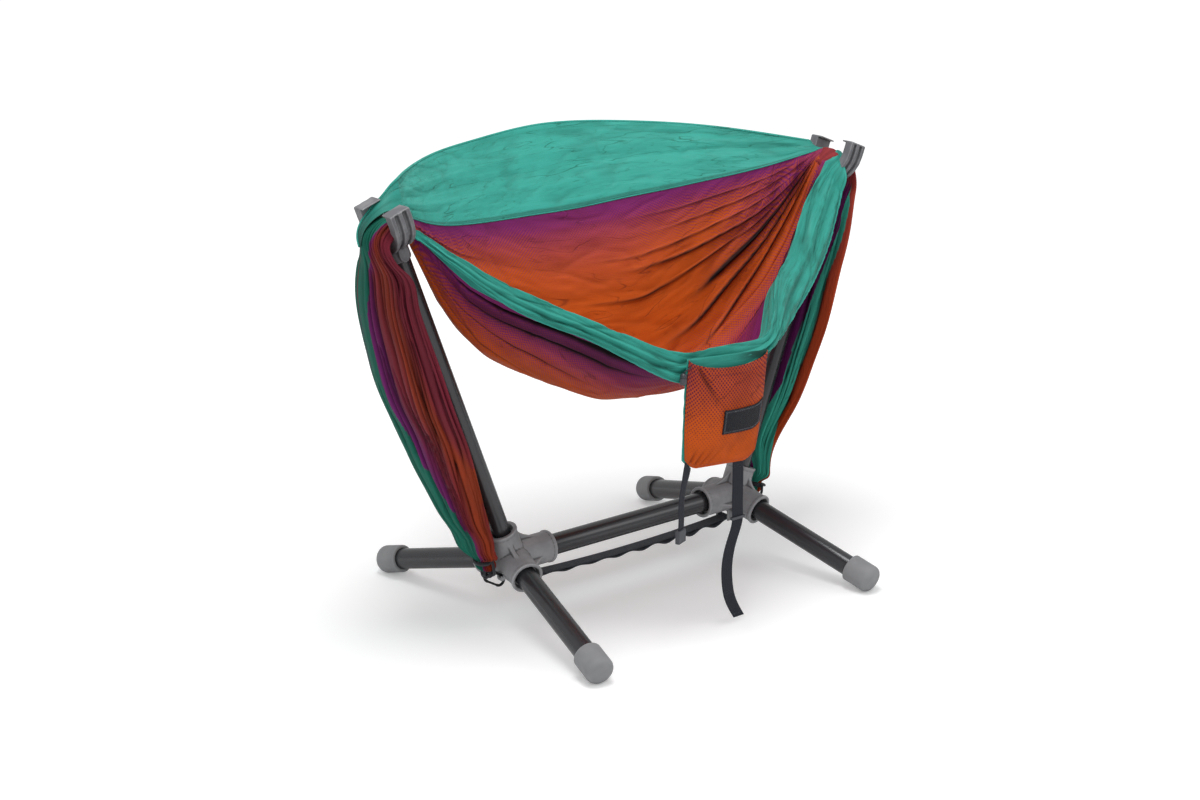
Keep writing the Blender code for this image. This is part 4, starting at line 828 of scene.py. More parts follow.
# seat cloth
seatCloth = {
    "rim": ((-1.00, -0.030, -0.014), (-0.80, -0.118, 0.063), (-0.55, -0.177, 0.127), (-0.30, -0.232, 0.186),
            (-0.16, -0.249, 0.204), (0.04, -0.251, 0.205),
            (0.24, -0.243, 0.198), (0.42, -0.170, 0.141), (0.62, -0.109, 0.109), (0.81, -0.055, 0.041),
            (1.00, -0.026, -0.022)),
    "hem": ((-1.00, -0.036, 0.030), (-0.83, -0.124, 0.105), (-0.57, -0.187, 0.157), (-0.325, -0.244, 0.228),
            (-0.17, -0.259, 0.253), (0.04, -0.260, 0.253),
            (0.24, -0.252, 0.228), (0.475, -0.193, 0.200), (0.695, -0.138, 0.163), (0.886, -0.090, 0.108),
            (1.012, -0.057, 0.030)),
    "bottom": ((-1.00, 0.000, 0.010), (-0.80, -0.008, 0.173), (-0.55, -0.012, 0.260),
               (-0.30, -0.014, 0.316), (-0.16, -0.014, 0.335), (0.04, -0.014, 0.345),
               (0.24, -0.012, 0.342), (0.42, -0.010, 0.317), (0.62, -0.008, 0.260), (0.81, -0.004, 0.160),
               (1.00, -0.004, -0.024)),
    "seam": ((-1.00, 0.013, -0.033), (-0.80, 0.060, 0.003), (-0.55, 0.110, 0.025), (-0.30, 0.144, 0.035),
             (-0.16, 0.155, 0.038), (0.04, 0.158, 0.038),
             (0.24, 0.150, 0.031), (0.42, 0.130, 0.022), (0.62, 0.102, 0.009), (0.81, 0.062, -0.009),
             (1.00, 0.014, -0.037)),
    "rear": ((-1.00, 0.030, -0.088), (-0.80, 0.134, -0.080), (-0.55, 0.222, -0.081), (-0.30, 0.277, -0.082),
             (-0.16, 0.292, -0.086), (0.04, 0.295, -0.093),
             (0.24, 0.281, -0.093), (0.42, 0.250, -0.089), (0.62, 0.200, -0.082), (0.81, 0.130, -0.071),
             (1.00, 0.033, -0.055)),
    "halfSpan": saddleX - 0.8 * stand["yokeWidth"], "seamDepth": 0.040, "belly": 0.07, "back": 0.05,
    "rimBend": 0.007, "pleats": 6, "leftPleat": 0.0045, "rightPleat": 0.006, "pleatPeak": 0.13,
    "bandCrease": 0.0034, "rearCrease": 0.003, "hemRadius": 0.0022, "seamRadius": 0.0018,
    "columns": 193, "centreRows": 225, "bandRows": 31, "bendRows": 9, "seamRows": 11, "rearRows": 49,
    "saddleColumns": 12, "lineColumns": 24,
}
# rows of fine cloth relief: height, shift, scales of u and v along, scales of u and v across, seed
clothRipples = {
    "centre": ((0.0011, 0, 13, 0, 0, 52, 21), (0.0007, 0, 34, 0, 0, 95, 22)),
    "front": ((0.0009, 0, 30, 25, 0, 60, 32), (0.0006, 0, 70, 0, 0, 90, 33)),
    "rear": ((0.0010, 0, 9, 0, 0, 44, 42), (0.0006, 0, 40, 0, 0, 80, 43)),
    "pouch": ((0.0010, 0, 26, 0, 0, 20, 71), (0.0006, 0, 60, 0, 0, 42, 72)),
}
clothRidges = {
    "centre": ((0.0016, 0, 9, 3, 0, 26, 23),),
    "front": ((0.0024, 0, 6, 0, -9, 60, 31), (0.0016, 5, 11, 0, 14, 95, 35)),
    "rear": ((0.0014, 0, 5, -5, 7, 52, 41), (0.0009, 7, 13, 0, -20, 60, 44)),
}


def columnShares():  # closer together near the yokes, where the pleats are
    even = np.linspace(-1, 1, seatCloth["columns"])
    return even * 0.62 + np.sign(even) * (1 - (1 - np.abs(even)) ** 1.6) * 0.38


def relief(table, name, noise, u, v):
    lift = 0
    for height, shift, alongU, alongV, acrossU, acrossV, seed in table[name]:
        lift = lift + height * noise(u * alongU + v * alongV + shift, u * acrossU + v * acrossV, seed)
    return lift


shares = columnShares()


def clothLine(table):
    spread = np.linspace(-1, 1, len(table))
    points = [(row[0] * seatCloth["halfSpan"], row[1], saddleHeight - row[2]) for row in table]
    columns = np.interp(shares, [row[0] for row in seatCloth["rim"]], spread)
    return smoothLine(spread, points, columns)


def bulged(first, second, share):
    push = np.cross(second - first, np.array([1.0, 0.0, 0.0])) * share
    return (first + second) / 2 + push


def seatRows():
    names = ("rim", "hem", "bottom", "seam", "rear")
    rim, hem, bottom, seam, rear = (clothLine(seatCloth[name]) for name in names)
    bend, rows = seatCloth["rimBend"], seatCloth["bandRows"]
    belly, back = bulged(rim, bottom, seatCloth["belly"]), bulged(bottom, seam, seatCloth["back"])
    front, middle, behind = [], [], []
    for c in range(len(shares)):
        inward = belly[c] - rim[c]
        reach = np.linalg.norm(inward)
        inward = inward / reach
        outward = hem[c] - rim[c]
        drop = np.linalg.norm(outward)
        outward = outward / drop
        depth = min(seatCloth["seamDepth"] * min(1.0, 0.3 + drop / 0.06), reach * 0.6)
        frontSeam = rim[c] + inward * depth
        outer, inner = rim[c] + outward * bend, rim[c] + inward * bend
        outside = through([hem[c], (hem[c] + outer) / 2, outer], rows)[:-1]
        rounded = through([outer, rim[c], inner], seatCloth["bendRows"])
        inside = through([inner, (inner + frontSeam) / 2, frontSeam], seatCloth["seamRows"])[1:]
        front.append(np.vstack([outside, rounded, inside]))
        middle.append(through([frontSeam, belly[c], bottom[c], back[c], seam[c]], seatCloth["centreRows"]))
        behind.append(through([seam[c], (seam[c] + rear[c]) / 2, rear[c]], seatCloth["rearRows"]))
    return (np.stack(lines, axis=1) for lines in (front, middle, behind))


frontGrid, centreGrid, rearGrid = seatRows()
distance = 1 - np.abs(shares)
swell = distance / seatCloth["pleatPeak"] * np.exp(1 - distance / seatCloth["pleatPeak"])
pleatDepth = np.where(shares < 0, seatCloth["leftPleat"], seatCloth["rightPleat"]) * (0.15 + 0.85 * swell)

# creases of the seat: side, share across at the yoke and at its far end, reach, depth, width
seatCreases = (
    (1, 0.90, 0.93, 0.85, 0.0030, 0.0040), (1, 0.84, 0.86, 0.75, 0.0036, 0.0040),
    (1, 0.72, 0.77, 0.95, 0.0062, 0.0060), (1, 0.66, 0.62, 0.62, 0.0085, 0.0150),
    (1, 0.61, 0.54, 0.80, 0.0070, 0.0085), (1, 0.78, 0.815, 1.10, 0.0036, 0.0045),
    (1, 0.55, 0.46, 0.66, 0.0060, 0.0080), (1, 0.69, 0.70, 1.25, 0.0040, 0.0050),
    (1, 0.26, 0.32, 0.60, 0.0040, 0.0080), (1, 0.12, 0.13, 0.60, 0.0040, 0.0090),
    (-1, 0.86, 0.74, 0.60, 0.0040, 0.0050), (-1, 0.78, 0.62, 0.75, 0.0036, 0.0050),
    (-1, 0.70, 0.55, 0.60, 0.0034, 0.0050), (-1, 0.92, 0.85, 0.50, 0.0030, 0.0045),
    (-1, 0.045, 0.055, 1.30, 0.0075, 0.0170), (-1, 0.12, 0.11, 0.95, 0.0050, 0.0080),
    (-1, 0.20, 0.24, 0.75, 0.0042, 0.0070), (-1, 0.29, 0.34, 0.55, 0.0036, 0.0070),
)


def distanceFrom(side):
    return (1 - shares) if side > 0 else (1 + shares)


def centreFolds():
    across = np.linspace(0, 1, seatCloth["centreRows"])
    pleats = seatCloth["pleats"]
    phase = 2 * math.pi * pleats * across[:, None]
    phase = phase + 1.6 * clothNoise(shares[None, :] * 2.2, across[:, None] * 7, 20)
    ends = np.minimum(1, np.minimum(across, 1 - across) * pleats) ** 2
    lift = 0.22 * (1 - np.cos(phase)) * ends[:, None] * pleatDepth[None, :]
    grooves = np.zeros_like(lift)
    for side, atYoke, atEnd, reach, depth, width in seatCreases:
        away = distanceFrom(side) / reach
        path = atYoke + (atEnd - atYoke) * ease(away, 0.0, 1.0)
        path = path + 0.006 * clothNoise(away * 3.0, atYoke * 40, 11)
        along = ease(away, 0.0, 0.10) * (1 - ease(away, 0.45, 1.0)) * (away < 1.0)
        spread = width * (0.30 + 0.55 * away)
        shape = np.exp(-np.abs((across[:, None] - path[None, :]) / spread[None, :]) ** 1.4)
        grooves += shape * (1.25 * depth * along)[None, :]
    fade = ease(distance, 0.0, 0.05)[None, :] * ease(np.minimum(across, 1 - across), 0.0, 0.03)[:, None]
    ripples = relief(clothRipples, "centre", clothNoise, u, v) + relief(clothRidges, "centre", ridges, u, v)
    return lift, grooves, ripples * fade, across


u, v = arcLengths(centreGrid)
lift, grooves, ripples, across = centreFolds()
centre = centreGrid + gridNormals(centreGrid) * (lift + grooves + ripples)[..., None]
edge = np.interp(1 - across, (0.0, 0.03, 0.07, 0.13, 0.20, 0.30), (1.0, 0.85, 0.52, 0.34, 0.16, 0.0))
edge = np.maximum(edge, np.interp(across, (0.0, 0.07, 0.17, 0.27, 0.38), (1.0, 0.82, 0.50, 0.26, 0.0)))
ink = np.clip(edge[:, None] + 0.05 * clothNoise(u * 5, v * 9, 24), 0, 1)
nearYoke = ease(across, 0.46, 0.74)[:, None] * (1 - ease(distanceFrom(1), 0.05, 0.62))[None, :]
ink = np.maximum(ink, 0.56 * nearYoke)
nearPouch = (1 - ease(across, 0.16, 0.62))[:, None] * ease(shares, -0.10, 0.40)[None, :]
ink = np.maximum(ink, 0.66 * nearPouch)
# painted shadow that the front band casts on the belly just below it, along the left part of the seat
bandReach = ease(distanceFrom(-1), 0.03, 0.20) * (1 - ease(distanceFrom(-1), 0.55, 0.95))
bandShadow = np.exp(-((across - 0.10) / 0.045) ** 2)[:, None] * bandReach[None, :]
creaseShade = np.clip(grooves / 0.0042, 0, 1) * 0.96 + np.clip(-ripples / 0.0024, 0, 1) * 0.12 + 0.6 * bandShadow
creaseShade = np.clip(creaseShade, 0, 1)
print("seat rows shaped")


def clothPiece(name, grid, guide, finish, slot, node, thickness=0.0009, **values):
    u, v = arcLengths(guide)
    thing = gridMesh(name, grid, uvs={"weave": (u, v)}, values=values)
    thicken(thing, thickness)
    thing.data.shade_smooth()
    return finishPiece(thing, finish, "pouch" if node.startswith("pouch") else "stand_and_seat", slot, node)


saddleRoll = {"leftRise": 0.0235, "rightRise": 0.0198, "halfWidth": 0.0325, "reach": 0.046, "tuck": 0.010,
              "slope": 0.35}


def saddlePoint(side, out, angle):  # on the bundle above the saddle, out from the seat
    roll = saddleRoll
    rise = (roll["leftRise"] if side < 0 else roll["rightRise"]) * (1 + np.cos(angle))
    rise = rise - roll["tuck"] * ease(out, roll["reach"] - 0.012, roll["reach"]) + roll["slope"] * (0.030 - out)
    x, y = side * (seatCloth["halfSpan"] + out), roll["halfWidth"] * np.sin(angle)
    return np.stack(np.broadcast_arrays(x, y, saddleHeight + rise), axis=-1)


def overSaddle(side, edge, firstAngle, lastAngle):
    angles = np.radians(np.linspace(firstAngle, lastAngle, len(edge)))[:, None]
    t = np.linspace(0, 1, seatCloth["saddleColumns"] + 1)[1:][None, :]
    out = saddleRoll["reach"] * t
    blend = ease(t, 0.0, 0.75)[..., None]
    onward = edge[:, None] + np.array([side, 0.0, 0.1]) * out[..., None]
    return onward * (1 - blend) + saddlePoint(side, out, angles) * blend


def alongLines(edge, first, last, bulge):  # cloth between two lines that run on from its corners
    columns, lines = seatCloth["lineColumns"], []
    for corner, points in ((edge[0], first), (edge[-1], last)):
        points = [(x, y, saddleHeight + z) for x, y, z in points]
        lines.append(through([corner] + points, columns + 1)[1:])
    share = np.linspace(0, 1, len(edge))[:, None, None]
    bent = edge - (edge[0] * (1 - share[:, 0]) + edge[-1] * share[:, 0])
    t = np.linspace(0, 1, columns + 1)[1:]
    part = lines[0][None] * (1 - share) + lines[1][None] * share
    part = part + bent[:, None] * (1 - ease(t, 0.0, 0.7))[None, :, None]
    part[..., 2] += bulge * np.sin(np.pi * share[..., 0]) * np.sin(np.pi * t)[None, :]
    return part


# where the edges of the two plain panels go at the yokes: x, y, height over the saddle
yokeLines = {
    "rearSeamLeft": ((-0.4973, 0.004, 0.0440), (-0.5200, 0.004, 0.0360), (-0.5376, 0.010, 0.0170),
                     (-0.5420, 0.016, -0.0100)),
    "rearHemLeft": ((-0.4736, 0.031, 0.0790), (-0.4877, 0.032, 0.0650), (-0.5032, 0.033, 0.0520),
                    (-0.5189, 0.034, 0.0370), (-0.5320, 0.034, 0.0210), (-0.5390, 0.030, 0.0030),
                    (-0.5420, 0.020, -0.0100)),
    "frontHemRight": ((0.4760, -0.0580, -0.0060), (0.4830, -0.0450, 0.0130), (0.4920, -0.0335, 0.0260),
                      (0.5040, -0.0290, 0.0240)),
    "frontRimRight": ((0.4760, -0.0230, 0.0300), (0.4880, -0.0190, 0.0400), (0.5040, -0.0160, 0.0360)),
}


def joinedOn(left, grid, right):
    return np.concatenate([left[:, ::-1], grid, right], axis=1)


def frontFolds():
    rows, outside = frontGrid.shape[0], seatCloth["bandRows"] - 1
    u, v = arcLengths(frontGrid)
    down = np.concatenate([np.linspace(0, 1, outside), np.ones(rows - outside)])  # hem to rim
    crease = np.interp(np.linspace(0, 5, outside), range(6), (0.0, 1.0, -1.0, 1.0, -0.6, 0.0))
    crease = np.concatenate([crease * seatCloth["bandCrease"], np.zeros(rows - outside)])
    fade = ease(distance, 0.0, 0.08)
    inside = np.arange(rows) / (rows - 1)
    seamFade = 1 - ease(inside, 0.86, 1.0)
    puff = 0.0035 * np.sin(np.pi * np.clip(down, 0, 1)) * (inside < 0.63)
    folds = relief(clothRidges, "front", ridges, u, v) + relief(clothRipples, "front", clothNoise, u, v)
    hemPucker = 0.0008 * np.sin(u * 420 + 2 * clothNoise(u * 30, v, 34)) * np.exp(-(v - v[0:1]) / 0.010)
    lift = crease[:, None] * fade[None, :] + puff[:, None] + (folds + hemPucker) * seamFade[:, None]
    lift = lift * ease(distance, 0.0, 0.03)[None, :]
    # painted shade in the valleys of the band's creases, stronger towards the left, added to the shade of its
    # ripples
    toLeft = (1.0 - 0.7 * ease(shares, -0.5, 0.2)) * fade
    valleys = np.clip(-crease / seatCloth["bandCrease"], 0, 1)[:, None] * toLeft[None, :]
    return lift, np.clip(-folds / 0.0028, 0, 1) + 1.1 * valleys


def rearFolds():
    u, v = arcLengths(rearGrid)
    share = np.linspace(0, 1, seatCloth["rearRows"])
    crease = np.interp(share, np.linspace(0, 1, 7), (0.0, 0.0, 0.6, -0.6, 0.7, -0.5, 0.0))
    folds = relief(clothRidges, "rear", ridges, u, v) + relief(clothRipples, "rear", clothNoise, u, v)
    fade = ease(distance, 0.0, 0.06)[None, :] * ease(np.minimum(share, 1 - share), 0.0, 0.06)[:, None]
    crease = seatCloth["rearCrease"] * crease[:, None] * ease(distance, 0.0, 0.1)[None, :]
    return crease + folds * fade, np.clip(-folds / 0.0020, 0, 1)


frontLift, frontShade = frontFolds()
rearLift, rearShade = rearFolds()
front = frontGrid + gridNormals(frontGrid) * frontLift[..., None]
narrow = 1 - np.where(shares < 0, 0.66, 0.0) * (1 - ease(distance, 0.0, 0.42))
rim = seatCloth["bandRows"] + seatCloth["bendRows"] // 2 - 1
rimRow = front[rim:rim + 1]
front[:rim] = rimRow + (front[:rim] - rimRow) * narrow[None, :, None]
rear = rearGrid + gridNormals(rearGrid) * rearLift[..., None]
frontRight = alongLines(front[:, -1], yokeLines["frontHemRight"], yokeLines["frontRimRight"], 0.0)
rearLeft = alongLines(rear[:, 0], yokeLines["rearSeamLeft"], yokeLines["rearHemLeft"], 0.001)
front = joinedOn(overSaddle(-1, front[:, 0], -100.0, -75.0), front, frontRight)
rear = joinedOn(rearLeft, rear, overSaddle(1, rear[:, -1], 20.0, 84.0))
centre = joinedOn(overSaddle(-1, centre[:, 0], -78.0, 0.0), centre, overSaddle(1, centre[:, -1], -62.0, 22.0))
short, long = seatCloth["saddleColumns"], seatCloth["lineColumns"]
frontShade = np.pad(frontShade, ((0, 0), (short, long)), mode="edge")
rearShade = np.pad(rearShade, ((0, 0), (long, short)), mode="edge")
rearShade[:3] += 1.7  # painted shade along the seam
rearShade[:, :long] += np.linspace(3.0, 0.3, long)  # in the shade of the yoke
creaseShade, ink = (np.pad(v, ((0, 0), (short, short)), mode="edge") for v in (creaseShade, ink))
seatFront = clothPiece("seatFront", front, front, "tealBand", "green_cloth", "seat_front_panel",
                       crease=frontShade * 0.42)
seatCentre = clothPiece("seatCentre", centre, centre, "print", "printed_cloth", "seat_center_panel",
                        crease=creaseShade, ink=ink)
seatRear = clothPiece("seatRear", rear, rear, "teal", "green_cloth", "seat_rear_panel", crease=rearShade * 0.27)
print("seat cloth made")


def offsetLine(grid, row, rise, clear=4):  # a row of the cloth, raised off its face, clear of its ends
    return (grid[row] + gridNormals(grid)[row] * rise)[clear:-clear]


def hemRoll(name, line, radius, finish):
    thing = tubeAlong(name, line, radius, 10, flatten=0.7)
    layer = thing.data.uv_layers.new(name="weave")
    source = np.zeros(len(thing.data.loops) * 2, np.float32)
    thing.data.uv_layers["lay"].data.foreach_get("uv", source)
    source = source.reshape(-1, 2) * (0.01, 1.0)
    layer.data.foreach_set("uv", source[:, ::-1].astype(np.float32).ravel())
    finishPiece(thing, finish, "stand_and_seat", "green_cloth")


hemRoll("frontHem", front[0], seatCloth["hemRadius"], "tealBand")
hemRoll("rearHem", rear[-1], seatCloth["hemRadius"], "teal")
hemRoll("rearSeamRoll", centre[-1], seatCloth["seamRadius"], "tealBand")
hemRoll("frontSeamRoll", centre[0], seatCloth["seamRadius"], "tealBand")
for name, grid, rows, thread, slot in (
        ("frontHemStitches", front, (4,), "tealThread", "green_cloth"),
        ("rearHemStitches", rear, (-4,), "tealThread", "green_cloth"),
        ("rearSeamStitches", rear, (2,), "tealThread", "green_cloth"),
        ("seamStitches", centre, (1, -2), "inkThread", "printed_cloth")):
    for face, rise in (("Out", 0.0006), ("In", -0.0006)):
        lines = [offsetLine(grid, row, rise) for row in rows]
        stitchRow(name + face, lines, thread, "stand_and_seat", slot)
print("hems and stitches made")

# gathered ends
gathered = {
    "overYoke": ((-1.014, -0.0075, 0.000, 0.917, 0.0290, -20.9),
                 (-0.530, 0.0014, 0.000, 0.833, 0.0275, 0.0), (-0.150, 0.0009, 0.000, 0.828, 0.0268, 0.0),
                 (0.280, 0.0010, 0.000, 0.806, 0.0262, 6.0), (0.700, 0.0030, 0.000, 0.806, 0.0205, 40.0),
                 (0.900, -0.0180, 0.001, 1.167, 0.0145, 72.0)),
    "downUpright": ((0.945, 0.0045, 0.008, 0.0590, 0.0130), (0.852, 0.0016, 0.022, 0.0830, 0.0185),
                    (0.698, 0.0016, 0.034, 0.0990, 0.0240), (0.537, 0.0016, 0.038, 0.1050, 0.0280),
                    (0.444, 0.0010, 0.039, 0.1030, 0.0265), (0.324, 0.0016, 0.036, 0.0910, 0.0270),
                    (0.242, 0.0016, 0.031, 0.0770, 0.0270)),
    "lowerEnd": ((0.1060, 0.0030, 0.024, 0.0630, 0.0260), (0.0768, 0.0130, 0.016, 0.0590, 0.0190),
                 (0.0580, 0.0210, 0.008, 0.0540, 0.0165), (0.0450, 0.0215, 0.003, 0.0440, 0.0150),
                 (0.0360, 0.0220, 0.001, 0.0210, 0.0125), (0.0270, 0.0220, 0.000, 0.0170, 0.0115),
                 (0.0175, 0.0205, 0.000, 0.0205, 0.0140), (0.0110, 0.0215, 0.000, 0.0160, 0.0100)),
    "prongInner": 0.036, "groove": 0.14, "lobes": 6, "columns": 340, "rows": 230,
    "frontBulge": 0.46, "radius": 0.055,
    "fineFolds": ((13, 52, 0.060), (29, 53, 0.028)),  # count round the bundle, seed, depth
    "viewTurn": {"left": 18.0, "right": 162.0}, "flat": 0.74, "spread": {"left": 1.13, "right": 1.0},
}
# where each colour of the gathered cloth ends across the bundle at these heights,
# from the edge that is away from the tube
bandHeights = (1.08, 1.02, 0.96, 0.90, 0.55, 0.34, 0.14)
tailBands = {
    "left": (("teal", (0.70, 0.50, 0.27, 0.16, 0.14, 0.24, 0.60)),
             ("purple", (0.72, 0.54, 0.30, 0.20, 0.31, 0.42, 0.61)),
             ("maroon", (0.74, 0.62, 0.46, 0.40, 0.54, 0.72, 0.74)),
             ("orange", (0.80, 0.72, 0.60, 0.56, 0.76, 1.00, 1.00)),
             ("maroon", (1.0, 1.0, 1.0, 1.0, 1.0, 1.0, 1.0))),
    "right": (("orange", (0.44, 0.36, 0.12, 0.07, 0.14, 0.14, 0.05)),
              ("teal", (0.44, 0.37, 0.15, 0.12, 0.36, 0.33, 0.60)),
              ("purple", (1.0, 1.0, 1.0, 1.0, 1.0, 1.0, 1.0))),
}
# painted light and shade: each end's colours are copies of the seat cloth's, the left end's darker, and on the
# right the teal lighter and the print darker, for how light falls on them
tailColoursLitAndShaded = {"left": {"purple": (112, 28, 106), "maroon": (120, 36, 52), "orange": (146, 54, 24),
                        "teal": (22, 106, 88)},
               "right": {"purple": (100, 28, 90), "orange": (178, 68, 26), "teal": (62, 172, 150)}}
# lengthwise folds: place across at the top and at the bottom, from and to along the upright, depth, width
tailFolds = {
    "slanted": tuple((0.34 + 0.032 * i, 0.56 + 0.026 * i, 0.66 - 0.03 * i, 0.09 + 0.006 * i, 0.0040, 0.0065)
                     for i in range(8)),  # a run of small folds low on the left end
    "left": ((0.30, 0.28, 1.08, 0.40, 0.0045, 0.012), (0.47, 0.40, 1.08, 0.16, 0.0055, 0.011),
             (0.53, 0.50, 1.06, 0.10, 0.0050, 0.009), (0.60, 0.56, 1.08, 0.08, 0.0062, 0.011),
             (0.66, 0.62, 1.04, 0.20, 0.0040, 0.009), (0.74, 0.70, 1.08, 0.10, 0.0050, 0.010),
             (0.84, 0.80, 1.06, 0.22, 0.0040, 0.010), (0.22, 0.34, 0.72, 0.20, 0.0060, 0.012),
             (0.17, 0.24, 1.00, 0.30, 0.0050, 0.012), (0.92, 0.90, 1.00, 0.30, 0.0036, 0.010),
             (0.79, 0.84, 0.55, 0.04, 0.0050, 0.010), (0.10, 0.22, 0.60, 0.06, 0.0034, 0.012),
             (0.30, 0.40, 0.34, 0.05, 0.0044, 0.012), (0.36, 0.52, 1.08, 0.06, 0.0090, 0.016),
             (0.24, 0.33, 0.95, 0.08, 0.0075, 0.014), (0.70, 0.66, 1.08, 0.40, 0.0070, 0.014)),
    "right": ((0.16, 0.10, 1.0, 0.10, 0.0050, 0.012), (0.44, 0.27, 1.0, 0.10, 0.0060, 0.014),
              (0.70, 0.66, 0.9, 0.12, 0.0060, 0.014), (0.82, 0.76, 1.0, 0.10, 0.0070, 0.018),
              (0.93, 0.90, 0.9, 0.15, 0.0060, 0.016), (0.56, 0.46, 0.7, 0.08, 0.0034, 0.009),
              (0.30, 0.18, 0.6, 0.10, 0.0040, 0.009), (0.63, 0.58, 0.5, 0.06, 0.0036, 0.008)),
}


def gatheredTable():
    rows = []
    for offset, rise, y, width, depth, turn in gathered["overYoke"]:
        angle = math.radians(turn)
        shift = depth * math.sin(angle) if turn > 0 else 0.0
        depth = depth * gathered["flat"]
        far, out = stand["saddle"] + rise + depth * math.cos(angle), offset * stand["yokeWidth"] + shift * 0.4
        rows.append((far, out, y, width * gathered["prongInner"], depth, turn))
    for part, unitLength in (("downUpright", stand["saddle"]), ("lowerEnd", 1.0)):
        for far, clear, y, width, depth in gathered[part]:
            rows.append((far * unitLength, stand["uprightRadius"] + clear + depth, y, width, depth, 90.0))
    return np.asarray(rows)


def linear(colours):
    c = np.asarray(colours, float) / 255
    return np.where(c <= 0.04, c / 12.92, ((c + 0.055) / 1.055) ** 2.4)


def bandTints(label, height, across, facingUs, along):  # colours by place, the printed ones run into each other
    heights = np.asarray(bandHeights)[::-1]
    colours = {name: linear(value) for name, value in tailColoursLitAndShaded[label].items()}
    start = np.zeros_like(height)
    printed, weight = np.zeros(height.shape + (3,)), np.zeros(height.shape)
    teal = np.zeros(height.shape, bool)
    for order, (name, ends) in enumerate(tailBands[label]):
        stop = np.interp(height, heights, np.asarray(ends)[::-1])
        stop = stop + 0.012 * clothNoise(along * 8, order * 3.0, 56)
        if name == "teal":
            teal = (across >= start) & (across <= stop)
        else:
            middle, half = (start + stop) / 2, np.maximum((stop - start) / 2, 0.004)
            near = np.exp(-((across - middle) / (half + 0.02)) ** 2) * (stop > start + 0.004) + 1e-6
            printed += near[..., None] * colours[name]
            weight += near
        start = np.maximum(start, stop)
    tints = printed / weight[..., None]
    start = ease(height, 0.94, 1.0) if label == "right" else ease(height, 1.055, 1.075)
    tints = tints + (linear((146, 52, 56)) - tints) * start[..., None]
    shown = teal & facingUs & (start < 0.5)
    if label == "left":
        shown |= ~facingUs & (across < 0.45)
    return tints, shown, colours["teal"]


